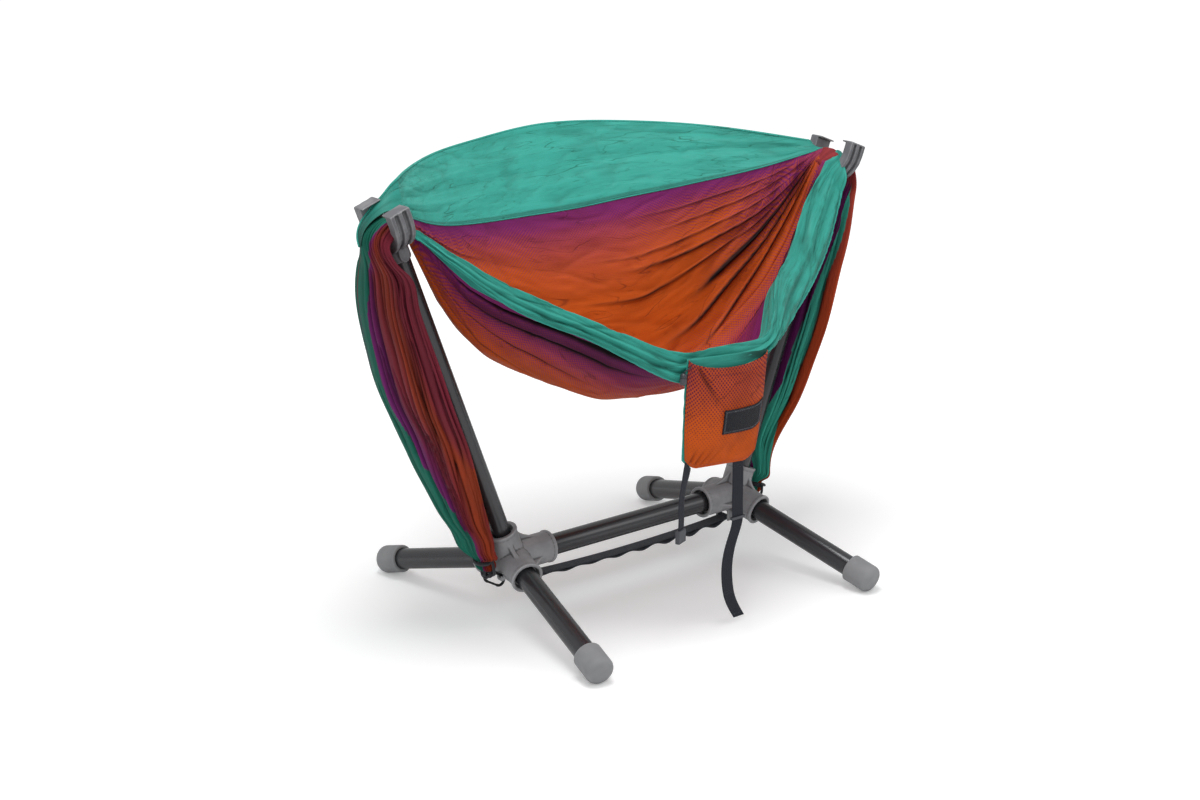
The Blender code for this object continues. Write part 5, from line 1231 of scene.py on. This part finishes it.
def gatheredEnd(label, side):
    table = gatheredTable()
    table[0, 3:5] *= 0.5  # its start lies hidden in the seat's pleats
    table[0, 0] -= 0.010
    if side > 0:  # the right end closes in sooner, and lies lower in its yoke
        table[:, 3] *= np.interp(table[:, 0], (0.02, 0.05, 0.10, 0.20), (0.60, 0.62, 0.80, 1.0))
        table[:4, 4] *= 0.84
    knots = lengthsAlong(table[:, :3])
    total = knots[-1]
    plain = np.linspace(0, 1, gathered["rows"])
    samples = total * (0.55 * plain + 0.45 * (1 - (1 - plain) ** 2.2))
    lines = smoothLine(knots, table, samples)
    turned = samples[np.argmax(lines[:, 5] > 45)]
    angles = np.linspace(0, 2 * math.pi, gathered["columns"], endpoint=False)
    cosines, sines = np.cos(angles)[None, :], np.sin(angles)[None, :]
    direction = np.asarray(uprightDirection(side))
    outwardsWay = np.array([side * direction[2], 0.0, -side * direction[0]])
    turn = np.radians(np.minimum(lines[:, 5], 90.0))
    facing = direction * np.cos(turn)[:, None] + outwardsWay * np.sin(turn)[:, None]
    centres = np.array([tuple(uprightPoint(side, r[0], r[1], r[2])) for r in lines])
    fade = np.minimum(1, np.minimum(samples / 0.12, (total - samples) / 0.05))
    lobes = 0.5 - 0.5 * np.cos(gathered["lobes"] * (angles - math.pi / 2))
    scale = 1 - gathered["groove"] * fade[:, None] * lobes[None, :]
    height = (1 - (samples - turned) / (total - turned))[:, None] * np.ones_like(cosines)
    seen = angles[None, :] + math.radians(gathered["viewTurn"][label]) + np.zeros_like(height)
    across, facingUs = (1 - np.sin(seen)) / 2, np.cos(seen) > 0
    along = samples[:, None] * np.ones_like(height)
    fineWave = np.zeros_like(height)
    for count, seed, depth in gathered["fineFolds"]:  # lengthwise folds with narrow valleys
        phase = count * angles[None, :] / 2 + 2.2 * clothNoise(along * 5, sines * 1.5 + seed, seed)
        life = 0.5 + 0.5 * clothNoise(along * 6, cosines * 2 + seed, seed + 10)
        fineWave -= depth * (1 - np.abs(np.sin(phase))) ** 3 * life
    ends = np.minimum(1, np.minimum(along / 0.05, (total - along) / 0.02))
    scale = scale + fineWave * np.clip(ends, 0.25, 1) * 1.3
    scale *= 0.55 + 0.45 * ease(along, 0.0, 0.028)  # slim where it leaves the seat
    inset = np.zeros_like(height)
    # painted shade in the folds, carried to the colour by the crease attribute
    shade = np.clip(-fineWave / 0.07, 0, 1) * 0.6
    jumped = across.copy()
    folds = tailFolds[label] + (tailFolds["slanted"] if label == "left" else ())
    for order, (top, low, start, stop, depth, width) in enumerate(folds):
        share = np.clip((start - height) / (start - stop), 0, 1)
        path = top + (low - top) * share + 0.010 * clothNoise(along * 7, top * 30, 54)
        life = ease(share, 0.0, 0.08) * (1 - ease(share, 0.86, 1.0)) * (height < start) * (height > stop)
        shape = np.exp(-np.abs((across - path) / width) ** 1.5) * facingUs
        inset = np.maximum(inset, shape * depth * life * 1.2)
        jump = (ease(across - path, -0.006, 0.006) - 0.5) * np.exp(-np.abs(across - path) / 0.06)
        jumped += 0.04 * (-1) ** order * life * jump
        shade = np.maximum(shade, shape * life * min(1, depth / 0.0050))
    wide = (gathered["spread"][label] - 1) * ease(along, turned - 0.05, turned + 0.02)
    wide = 1 + wide * (1 - 0.5 * ease(along, total - 0.05, total))
    if label == "left":  # the front edge runs straight down from the prong
        bulge = ease(along, turned - 0.05, turned - 0.01) * (1 - ease(along, turned, turned + 0.11))
        wide = wide + gathered["frontBulge"] * bulge * (sines < 0)
    sideways = lines[:, 3][:, None] * sines * scale * wide
    outside = lines[:, 4][:, None] * cosines * scale
    spokes = sideways[..., None] * np.array([0.0, 1.0, 0.0]) + facing[:, None] * outside[..., None]
    grid = centres[:, None] + spokes
    normals = gridNormals(np.concatenate([grid, grid[:, :1]], axis=1))[:, :-1]
    normals *= np.sign(np.sum(normals * spokes, axis=-1, keepdims=True))
    puckers = 0.0016 * np.sin(angles * 34 + 3 * clothNoise(along * 20, 0, 55))
    puckers = puckers * ease(along, total - 0.07, total - 0.03)
    grid = grid - normals * inset[..., None] + normals * puckers[..., None]
    tints, teal, tealColour = bandTints(label, height, jumped, facingUs, along)
    # brightness varies at random along and across the bundle
    toneNoise = 0.92 + 0.14 * clothNoise(along * 3, across * 42, 58) + 0.06 * clothNoise(along * 16, across * 20, 59)
    tints = np.clip(np.where(teal[..., None], tealColour, tints) * toneNoise[..., None], 0, 1)
    u = np.broadcast_to(angles[None, :] * gathered["radius"], height.shape)
    thing = gridMesh(label + "GatheredEnd", grid, around=True, capped=True, uvs={"weave": (u, along)},
                     tints={"tint": tints}, values={"crease": np.clip(shade * 0.85, 0, 1)})
    cleaned(thing, merge=False)
    return finishPiece(thing, "bundle", "stand_and_seat", "printed_cloth", label + "_gathered_end")


tails = [gatheredEnd(label, side) for label, side in sides]
print("gathered ends made")

# carabiners and gather cords
carabinerSizes = {
    "eyeDistance": 0.036, "eyeRadius": 0.005, "web": 0.007, "wire": 0.0025, "width": 0.019,
    "straight": 0.026, "gate": 0.021, "gateWire": 0.0020, "hingeGap": 0.0010, "fit": 0.0003, "cord": 0.0025,
    "collarRise": 0.003, "collarClear": 0.0026,
    "wrap": 0.0014, "wrapTurns": 3, "wrapRise": 0.0026, "knotCord": 0.0019, "knotRadius": 0.0100,
    "knotWave": 0.0010,
}


def arcPoints(x, y, radius, start, end, count):
    angles = np.radians(np.linspace(start, end, count))
    return [(x + radius * math.cos(a), y + radius * math.sin(a)) for a in angles]


def axesMatrix(origin, x, y, z):
    turn = Matrix([Vector(way).normalized() for way in (x, y, z)]).transposed().to_4x4()
    return Matrix.Translation(Vector(origin)) @ turn


def carabiner(label, side):
    s = carabinerSizes
    down = (legDirection(side, -1) + legDirection(side, 1)).normalized()
    out = Vector((side * -down.z, 0, side * down.x))
    half = s["width"] / 2
    inner = half - s["wire"]
    far = s["eyeDistance"] + half
    corner = far - (s["eyeDistance"] + s["eyeRadius"])
    start = math.sqrt(inner ** 2 - corner ** 2) - s["web"] * 1.02 / 2 - s["fit"]
    placed = axesMatrix(hubCentre(side) + down * far + out * start, down, out, down.cross(out))
    gateStart = (s["straight"] - s["gate"]) / 2
    path = [(half, gateStart - s["hingeGap"])] + arcPoints(0, 0, half, 0, -180, 33)
    path += [(-half, s["straight"] * i / 8) for i in range(1, 8)]
    path += arcPoints(0, s["straight"], half, 180, 0, 33) + [(half, gateStart + s["gate"] + s["fit"])]
    ring = tubeAlong(label + "Carabiner", [tuple(placed @ Vector((x, y, 0))) for x, y in path], s["wire"], 24)
    finishPiece(ring, "wire", "stand_and_seat", "wire", label + "_carabiner")
    bar = [tuple(placed @ Vector((half, gateStart + s["gate"] * i / 10, 0))) for i in range(11)]
    radii = [s["gateWire"] * (0.9 if i in (0, 10) else 1.0) for i in range(11)]
    gate = tubeAlong(label + "Gate", bar, radii, 24)
    finishPiece(gate, "wire", label + "_gate", "wire", label + "_carabiner_gate")
    return placed, placed @ Vector((0, s["straight"] + inner - s["cord"] - s["fit"], 0))


def cordPiece(name, path, radius, closed, *nodes):
    thing = tubeAlong(name, path, radius, 14, closed=closed)
    finishPiece(thing, "cord", "stand_and_seat", "cord", *nodes)


def gatherCord(label, side, ringPoint):
    s = carabinerSizes
    neck, bulb = gathered["lowerEnd"][5], gathered["lowerEnd"][6]
    neckAxis, bulbAxis = (stand["uprightRadius"] + row[1] + row[4] for row in (neck, bulb))

    def roundNeck(rise, angle, clear):  # a place on the cloth's neck, clear of its face
        y = (neck[3] + clear) * math.sin(angle)
        return tuple(uprightPoint(side, neck[0] + rise, neckAxis + (neck[4] + clear) * math.cos(angle), y))

    bulbSide = bulb[3] + s["cord"] + 2 * s["fit"]
    limbs = ((bulb[0] - 0.014, bulbSide * 0.8), (bulb[0], bulbSide))
    points = [tuple(ringPoint)] + [tuple(uprightPoint(side, far, bulbAxis, y)) for far, y in limbs]
    clear = s["cord"] + s["collarClear"]
    points += [roundNeck(s["collarRise"], angle, clear) for angle in np.radians(np.linspace(90, -90, 9))]
    points += [tuple(uprightPoint(side, far, bulbAxis, -y)) for far, y in limbs[::-1]]
    line = through(np.asarray(points + [points[0]]), 161)[:-1]
    cordPiece(label + "GatherCord", line, s["cord"], True, label + "_gather_cord")
    turns = np.arange(32 * s["wrapTurns"] + 1) / 32  # thin cord wound round the neck of the bundle
    wraps = [roundNeck(s["wrapRise"] * turn - 0.0035, 2 * math.pi * turn, 0.0012) for turn in turns]
    cordPiece(label + "NeckWraps", wraps, s["wrap"], False)
    centre = Vector(ringPoint) + Vector((side * 0.002, -0.003, 0.008))
    t = np.linspace(0, 2 * math.pi, 240, endpoint=False)  # turns that cross over each other round a small ball
    swing, spin = math.radians(62) * np.sin(7 * t), 4 * t
    ball = np.stack([np.cos(spin) * np.cos(swing), np.sin(spin) * np.cos(swing), np.sin(swing)], axis=-1)
    reach = s["knotRadius"] + s["knotWave"] * np.cos(5 * t)
    cordPiece(label + "Knot", np.asarray(centre) + ball * reach[:, None], s["knotCord"], True)


for label, side in sides:
    placed, ringPoint = carabiner(label, side)
    gatherCord(label, side, ringPoint)
print("carabiners and cords made")

# tension strap
strapSizes = {
    "width": 0.025, "thickness": 0.0016, "sag": 0.008, "loops": 8, "loopDepth": 0.008,
    "loopFullness": (0.35, 0.50, 0.40, 0.55, 0.70, 0.85, 1.05, 1.0), "barInset": 0.020, "barDrop": 0.041,
    "barRadius": 0.003, "fit": 0.0003, "tackGap": 0.0016,
}


def ribbonPiece(name, line, width, thickness, axes, lift=0.0, columns=9):
    line = np.asarray(line, float)
    axes = np.broadcast_to(np.asarray(axes, float), line.shape)
    tangents = unit(np.gradient(line, axis=0))
    faces = unit(np.cross(tangents, axes))
    spots = np.linspace(-0.5, 0.5, columns)
    grid = line[:, None] + axes[:, None] * (spots * width)[None, :, None]
    grid = grid + faces[:, None] * (lift * np.ones(grid.shape[:2]))[..., None]
    u = np.broadcast_to(spots[None, :] * width, grid.shape[:2])
    v = np.broadcast_to(lengthsAlong(line)[:, None], grid.shape[:2])
    thing = gridMesh(name, grid, uvs={"weave": (u, v)})
    thicken(thing, thickness)
    addModifier(thing, "BEVEL", width=thickness * 0.32, segments=2, limit_method="ANGLE")
    bakeModifiers(thing)
    thing.data.shade_smooth()
    return thing


def tensionStrap():
    s = strapSizes
    reach = stand["hubSpacing"] / 2 - s["barInset"]
    barZ = stand["hubHeight"] - s["barDrop"]
    wrap = s["barRadius"] + s["fit"] + s["thickness"] / 2
    ends = reach - s["barRadius"] - s["fit"] - s["thickness"]

    def base(x):
        return barZ - s["sag"] * (1 - (x / reach) ** 2)

    between = [(x, 0.0, base(x) + 0.0001) for x in np.linspace(-ends, ends, 161)]
    left, right = ([(x, 0.0, z) for x, z in arcPoints(middle, barZ, wrap, first, last, 25)]
                   for middle, first, last in ((-reach, 330, 30), (reach, 150, -150)))
    band = ribbonPiece("strapBand", left + between + right, s["width"], s["thickness"] * 0.9, (0.0, -1.0, 0.0))
    cells, sizes, turns = [], [], []
    for i in range(s["loops"]):
        x = -ends + 2 * ends * (i + 0.5) / s["loops"]
        cells.append((x, 0.0, base(x) - s["thickness"] * 0.95))
        slope = math.atan2(base(x + 0.01) - base(x - 0.01), 0.02)
        sizes.append((1.0, 1.0, s["loopFullness"][i]))
        turns.append((0.0, -slope, 0.0))
    mesh = meshFrom("strapLoops", cells)
    for name, values in (("scale", sizes), ("turn", turns)):
        layer = mesh.attributes.new(name, "FLOAT_VECTOR", "POINT")
        layer.data.foreach_set("vector", np.asarray(values, np.float32).ravel())
    loops = makeObject("strapLoops", mesh)
    growDetail(loops, "loops", Width=s["width"], Thickness=s["thickness"] * 0.85,
               Span=2 * ends / s["loops"], Drop=s["loopDepth"], Webbing=finishes["tension"])
    points = np.array([v.co for v in loops.data.vertices])
    layer = loops.data.uv_layers.get("weave") or loops.data.uv_layers.new(name="weave")
    corner = np.zeros(len(loops.data.loops), np.int32)
    loops.data.loops.foreach_get("vertex_index", corner)
    layer.data.foreach_set("uv", points[corner][:, (1, 0)].astype(np.float32).ravel())
    both = joined("tensionStrap", [band, loops])
    both.data.shade_smooth()
    finishPiece(both, "tension", "stand_and_seat", "webbing", "tension_strap")
    tacks = []
    for i in range(s["loops"] + 1):
        x = -ends + 2 * ends * i / s["loops"]
        for shift in (-s["tackGap"], 0.0, s["tackGap"]):
            for face in (0.0009, -0.0026):
                z = base(x) + face
                tacks.append([(x + shift, y, z) for y in np.linspace(-0.0105, 0.0105, 15)])
    stitchRow("strapTacks", tacks, "darkThread", "stand_and_seat", "webbing", 0.0016, 0.0015, 0.0005)


tensionStrap()
print("tension strap made")

# pouch
pouch = {
    "width": 0.179, "height": 0.191, "centre": -0.004, "drop": 0.217, "tilt": math.radians(4.5),
    "bulge": 0.013, "dip": 0.020, "corner": 0.017, "cloth": 0.0020,
    "hemWidth": 0.0155, "lockRadius": 0.006, "lockLength": 0.020, "face": -0.2634, "patchWidth": 0.098,
    "patchHeight": 0.046, "patchDrop": 0.087, "patchMargin": 0.003,
    "puckers": ((0.06, 0.9, 0.0030), (0.12, 1.3, 0.0026), (0.19, 1.7, 0.0018), (0.27, 2.2, 0.0012)),
     # place, slope, depth
}


def pouchPlace(across, down, bulge):
    p = pouch
    sideways = across * p["width"] * (1 - 0.10 * down ** 3)
    corner = np.maximum(0.0, np.abs(across) - 0.32) / 0.18
    drop = down * (p["height"] - p["corner"] * corner ** 2)
    x = p["centre"] + sideways * math.cos(p["tilt"]) - drop * math.sin(p["tilt"])
    z = saddleHeight - p["drop"] - sideways * math.sin(p["tilt"]) - drop * math.cos(p["tilt"])
    return np.stack(np.broadcast_arrays(x, p["face"] - bulge, z), axis=-1)


def pouchFront(across, down):
    p = pouch
    middle = np.maximum(0.0, np.cos(math.pi * across))
    dip = p["dip"] * middle ** 0.5 * (1 - down) ** 2
    fullness = middle ** 0.8 * np.maximum(0.0, np.sin(math.pi * (0.12 + 0.88 * down))) ** 0.7
    place = pouchPlace(across, down, p["cloth"] + 0.0003 + p["bulge"] * fullness)
    place[..., 2] -= dip
    return place


def pouchWrinkles(across, down):
    u, v = across * pouch["width"], down * pouch["height"]
    edge = ease(np.minimum(across + 0.5, 0.5 - across), 0.0, 0.08) * ease(1 - down, 0.0, 0.06)
    lift = relief(clothRipples, "pouch", clothNoise, u, v)
    fold = (across + 0.40) * 0.9 - down * 0.62  # diagonal crease from the upper left corner
    lift -= 0.0030 * np.exp(-(fold / 0.030) ** 2) * (1 - ease(down, 0.12, 0.42)) * ease(down, 0.0, 0.05)
    lift += 0.0022 * np.exp(-((fold - 0.07) / 0.035) ** 2) * (1 - ease(down, 0.15, 0.45))
    puckers = np.zeros_like(lift)
    for place, slope, depth in pouch["puckers"]:
        line = (across + 0.5) - place - (1 - down) * slope * 0.55
        puckers -= depth * np.exp(-(line / 0.016) ** 2) * ease(down, 0.78, 0.96) * (across < 0.1)
    mouthBand = 0.0007 * (v < pouch["hemWidth"])
    groove = -0.0007 * np.exp(-((v - pouch["hemWidth"]) / 0.0012) ** 2)
    shade = np.clip(-(puckers + np.minimum(lift, 0)) / 0.0034, 0, 1)
    return (lift + puckers) * edge + mouthBand + groove, shade * edge


def pouchGrid(columns, rows):
    across = np.linspace(-0.5, 0.5, columns)[None, :] + np.zeros((rows, 1))
    down = np.linspace(0, 1, rows)[:, None] + np.zeros((1, columns))
    return across, down


across, down = pouchGrid(121, 131)
lift, shade = pouchWrinkles(across, down)
flat = pouchFront(across, down)
front = flat.copy()
front[..., 1] -= np.maximum(lift, -pouch["bulge"] * 0.8)
ink = 0.40 - 0.36 * ease(down, 0.15, 0.95) + 0.10 * ease(0.16 - (across + 0.5), 0.0, 0.16) * (1 - down)
pouchWall = clothPiece("pouchFront", front, flat, "pouchPrint", "printed_cloth", "pouch_front", 0.0014,
                       crease=shade * 0.6, ink=np.clip(ink, 0.0, 0.8))
across, down = pouchGrid(81, 81)
back = pouchPlace(across, down, 0.0)
leftFlare = ease(-0.36 - across, 0.0, 0.14)
back[..., 0] -= leftFlare * (0.0016 + 0.0030 * ease(down, 0.75, 1.0) + 0.0009 * clothNoise(down * 14, 2.0, 73))
back[..., 1] += 0.0004 * clothNoise(across * 9, down * 9, 74)
# painted shade on the lining just under the pouch's mouth, towards the right
shadeUnderFlap = 0.9 * ease(across, 0.02, 0.40) * (1 - ease(down, 0.03, 0.12))
pouchLining = clothPiece("pouchBack", back, back, "teal", "green_cloth", "pouch_back", 0.0012, crease=shadeUnderFlap)


def patchGrid():
    p = pouch
    across, down = pouchGrid(61, 33)
    across = 0.5 - p["patchMargin"] / p["width"] - p["patchWidth"] / p["width"] * (0.5 - across)
    down = (p["patchDrop"] + p["patchHeight"] * down) / p["height"]
    grid = pouchFront(across, down)
    grid[..., 1] -= np.maximum(pouchWrinkles(across, down)[0], 0) + 0.0016
    return grid


patch = patchGrid()
clothPiece("pouchPatch", patch, patch, "patch", "patch_weave", "pouch_patch", 0.0009)


def raisedFront(grid, rise):  # the cloth's outer face, which looks towards the front
    normals = gridNormals(grid)
    return grid + normals * rise * -np.sign(normals[0, 0, 1])


def insetLoop(grid, inset):
    i = inset
    return np.vstack([grid[i, i:-i], grid[i:-i, -i - 1], grid[-i - 1, i:-i][::-1], grid[i:-i, i][::-1]])


raised = raisedFront(patch, 0.0007)
patchLines = [insetLoop(raised, 2), insetLoop(raised, 3)]
stitchRow("patchStitches", patchLines, "paleThread", "pouch", "patch_weave", 0.0016, 0.0013, 0.0004)
raised = raisedFront(front, 0.0009)
mouthRow = int(pouch["hemWidth"] / pouch["height"] * 130) + 1
pouchLines = [raised[mouthRow, 3:-3], raised[2, 3:-3], raised[4:-3, 3], raised[4:-3, -4], raised[-4, 3:-3]]
stitchRow("pouchStitches", pouchLines, "inkThread", "pouch", "printed_cloth", 0.0034, 0.0026, 0.0005)


def cordLock():
    radius, length = pouch["lockRadius"], pouch["lockLength"]
    place = pouchPlace(np.float64(-0.5), np.float64(0.18), 0.0)
    top, low = length * 0.45, length * -0.55
    profile = [(0.0, top)]
    profile += [(radius * math.cos(a), top - radius * (1 - math.sin(a))) for a in np.linspace(1.3, 0.0, 10)]
    profile += [(radius * share, top * rise) for share, rise in ((1, 0.2), (0.92, 0.16), (0.92, 0.06), (1, 0))]
    profile += [(radius, low + 0.002), (radius - 0.0008, low + 0.0008), (radius * 0.6, low),
                (radius * 0.3, low)]
    profile += [(radius * 0.28, low + 0.002), (0.0, low + 0.002)]
    turn = Matrix.Rotation(pouch["tilt"], 4, "Y")
    turn = Matrix.Translation((place[0] - radius - 0.0006, place[1], place[2])) @ turn
    lock = lathe("cordLock", profile, turn, 48)
    finishPiece(lock, "blackPlastic", "pouch", "black_plastic", "pouch_cord_lock")
    start = np.array(place) + (0.0, -0.003, 0.016)
    bends = ((0.010, 0.0, 0.004), (0.0, -0.002, 0.0), (-0.006, 0.001, -0.005), (-0.0066, 0.003, -0.012))
    line = through([start + bend for bend in bends], 40)
    finishPiece(tubeAlong("lockCord", line, 0.0011, 10), "cord", "pouch", "cord")


cordLock()
print("pouch made")

# hanging straps
hanging = {
    "shortWidth": 0.0185, "shortDrop": 0.112, "longWidth": 0.025, "longDrop": 0.290, "thickness": 0.0016,
    "buckleWidth": 0.024, "buckleLength": 0.023, "buckleThick": 0.008, "sliderLength": 0.005,
    "sliderWall": 0.0016,
}


def edgeWay(left, right):
    return unit(pouchFront(np.float64(right), np.float64(1.0)) - pouchFront(np.float64(left), np.float64(1.0)))


def shortStrap():
    x, y, z = pouchFront(np.float64(-0.45), np.float64(1.0)) - (0.0, 0.0, 0.0012)
    drop = hanging["shortDrop"] - 0.0012
    bends = ((0, 0, 0), (-0.008, -0.001, 0.25), (-0.015, -0.003, 0.60), (-0.015, -0.002, 1))
    line = through([(x + sideways, y + ahead, z - drop * share) for sideways, ahead, share in bends], 97)
    facing = np.array([0.94, 0.34, 0.0])
    edge = edgeWay(-0.49, -0.41)
    share = np.interp(np.arange(97), (0, 16, 32), (1.0, 0.5, 0.0))[:, None]
    axes = unit(edge * share + facing * (1 - share))
    waves = 0.0006 * np.sin(np.linspace(0, 9, 97))[:, None]
    strap = ribbonPiece("shortStrap", line, hanging["shortWidth"], hanging["thickness"] * 0.8, axes, waves)
    finishPiece(strap, "webbing", "buckle_strap", "webbing", "short_strap")
    return strap, line, axes


def longStrap():
    x, y, z = pouchFront(np.float64(0.27), np.float64(1.0))
    top, drop = z - 0.0009, hanging["longDrop"]
    bends = (
        (0, 0, 0), (0, -0.0005, 0.10), (0, -0.001, 0.20), (0, -0.0015, 0.29), (0, -0.002, 0.37),
        (-0.012, -0.004, 0.47), (-0.024, -0.005, 0.62), (-0.022, -0.004, 0.74), (-0.014, -0.002, 0.84),
        (0.014, 0.002, 1),
    )  # sideways, forwards, and the share of the drop
    line = through([(x + sideways, y + ahead, top - drop * share) for sideways, ahead, share in bends], 226)
    edge = edgeWay(0.24, 0.30)
    share = np.interp(np.arange(226), (0, 15), (1.0, 0.0))[:, None]
    axes = unit(edge * share + np.array([1.0, 0.0, 0.0]) * (1 - share))
    strap = ribbonPiece("longStrap", line, hanging["longWidth"], hanging["thickness"] * 0.8, axes)
    finishPiece(strap, "webbing", "slider_strap", "webbing", "long_strap")
    return strap, line, axes


def crossRows(line, axes, spots, width, rise):  # short lines across a strap, on both faces
    tangents = unit(np.gradient(line, axis=0))
    faces = unit(np.cross(tangents, axes))
    rows = []
    for spot in spots:
        for way in (rise, -rise):
            middle = line[spot] + faces[spot] * way
            rows.append([middle + axes[spot] * width * s for s in np.linspace(-0.5, 0.5, 13)])
    return rows


def blockSolid(name, low, high, place, rounding, cuts=()):
    work = bmesh.new()
    bmesh.ops.create_cube(work, size=1.0)
    low, high = Vector(low), Vector(high)
    for v in work.verts:
        v.co = Vector((low[i] + (v.co[i] + 0.5) * (high[i] - low[i]) for i in range(3)))
    mesh = bpy.data.meshes.new(name)
    work.to_mesh(mesh)
    work.free()
    thing = makeObject(name, mesh)
    cutters = [blockSolid(name + "Cut", first, second, Matrix.Identity(4), 0) for first, second in cuts]
    for cutter in cutters:
        addModifier(thing, "BOOLEAN", operation="DIFFERENCE", solver="EXACT", object=cutter)
    if rounding:
        addModifier(thing, "BEVEL", width=rounding, segments=3, limit_method="ANGLE")
        bakeModifiers(thing)
    for cutter in cutters:
        bpy.data.objects.remove(cutter)
    thing.data.transform(place)
    return thing


def buckleHalf(line):
    width, length, thick = hanging["buckleWidth"], hanging["buckleLength"], hanging["buckleThick"]
    end = line[-1]
    turn = Matrix.Rotation(math.atan2(0.34, 0.94), 4, "Z")
    place = Matrix.Translation((end[0], end[1], end[2] - 0.0003)) @ turn
    cuts = [((x - 0.0022, -0.0022, -length * 1.3), (x + 0.0022, 0.0022, 0.014 - length))
            for x in (-width * 0.3, width * 0.3)]
    low, high = (-width / 2, -thick / 2, -length), (width / 2, thick / 2, 0)
    thing = blockSolid("buckleHalf", low, high, place, 0.0010, cuts)
    return finishPiece(thing, "blackPlastic", "buckle_strap", "black_plastic", "strap_buckle_half")


def sliderPiece(line):
    half = hanging["longWidth"] / 2 + 0.0009
    deep = hanging["thickness"] / 2 + 0.0006
    outer = Vector((half + hanging["sliderWall"], deep + hanging["sliderWall"], hanging["sliderLength"] / 2))
    cuts = [((-half, -deep, -0.01), (half, deep, 0.01))]
    thing = blockSolid("slider", -outer, outer, Matrix.Translation(tuple(line[75])), 0.0005, cuts)
    return finishPiece(thing, "blackPlastic", "slider", "black_plastic", "strap_slider")


shortPiece, shortLine, shortAxes = shortStrap()
longPiece, longLine, longAxes = longStrap()
buckle = buckleHalf(shortLine)
slider = sliderPiece(longLine)
shortBars = crossRows(shortLine, shortAxes, (3, 6, 52, 55, 92), hanging["shortWidth"] * 0.86, 0.0008)
longBars = crossRows(longLine, longAxes, (4, 7, 176, 178, 180, 218), hanging["longWidth"] * 0.88, 0.0008)
barStitch = {"spacing": 0.0015, "length": 0.0013, "thickness": 0.0004}
shortThread = stitchRow("shortStrapBars", shortBars, "darkThread", "buckle_strap", "webbing", **barStitch)
longThread = stitchRow("longStrapBars", longBars, "darkThread", "slider_strap", "webbing", **barStitch)
print("hanging straps made")

# floor, lamps and world
studio = {
    "floorRadius": 14, "floorDrop": 0.0006, "floorColour": (0.90, 0.905, 0.91, 1), "worldLight": 0.60,
    "lamps": (
        ("overhead", (-0.3, -0.2, 3.0), (0, 0, 0.4), 1.5, 46),
        ("front", (-2.6, -2.4, 2.6), (0, 0, 0.45), 1.2, 20),
        ("side", (2.2, -2.6, 2.0), (0.1, 0, 0.4), 1.6, 10),
    ),  # name, place, target, size, power
}


def makeFloor():
    work = bmesh.new()
    bmesh.ops.create_circle(work, cap_ends=True, segments=96, radius=studio["floorRadius"])
    mesh = bpy.data.meshes.new("floor")
    work.to_mesh(mesh)
    work.free()
    floor = makeObject("floor", mesh)
    floor.location.z = -studio["floorDrop"]
    material, tree, shader = newMaterial("pale floor", 0.9, specular=0.0)
    shader.inputs["Base Color"].default_value = studio["floorColour"]
    shader.inputs["Emission Color"].default_value = (1, 1, 1, 1)
    # painted glow: camera rays see the floor glow, weaker within about 2 m of the middle, so the floor round
    # the object and its shadow show darker
    seen = addNode(tree, "ShaderNodeLightPath").outputs["Is Camera Ray"]
    reach = addNode(tree, "ShaderNodeVectorMath", {"operation": "LENGTH"}, Vector=objectVector(tree))
    glow = mapRange(tree, reach.outputs["Value"], 0.5, 2.4, 0.20, 0.50)
    feed(tree, shader.inputs["Emission Strength"], times(tree, seen, glow))
    mesh.materials.append(material)


def areaLamp(name, place, target, extent, power):
    data = bpy.data.lights.new(name, "AREA")
    data.shape = "DISK"
    data.size = extent
    data.energy = power
    lamp = bpy.data.objects.new(name, data)
    lamp.location = place
    lamp.rotation_euler = (Vector(target) - Vector(place)).to_track_quat("-Z", "Y").to_euler()
    scene.collection.objects.link(lamp)


def makeWorld(strength):
    world = bpy.data.worlds.new("studio")
    scene.world = world
    world.use_nodes = True
    tree = world.node_tree
    tree.nodes.clear()
    mix = addNode(tree, "ShaderNodeMixShader")
    sources = [addNode(tree, "ShaderNodeLightPath").outputs["Is Camera Ray"]]
    for level in (strength, 1.0):  # what lights the object, and what the camera sees
        sources.append(addNode(tree, "ShaderNodeBackground", Color=(1, 1, 1, 1), Strength=level).outputs[0])
    for socket, source in zip(mix.inputs, sources):
        feed(tree, socket, source)
    addNode(tree, "ShaderNodeOutputWorld", Surface=mix.outputs[0])


makeFloor()
makeWorld(studio["worldLight"])
for lamp in studio["lamps"]:
    areaLamp(*lamp)
scene.view_settings.view_transform = "Standard"

print("scene built")
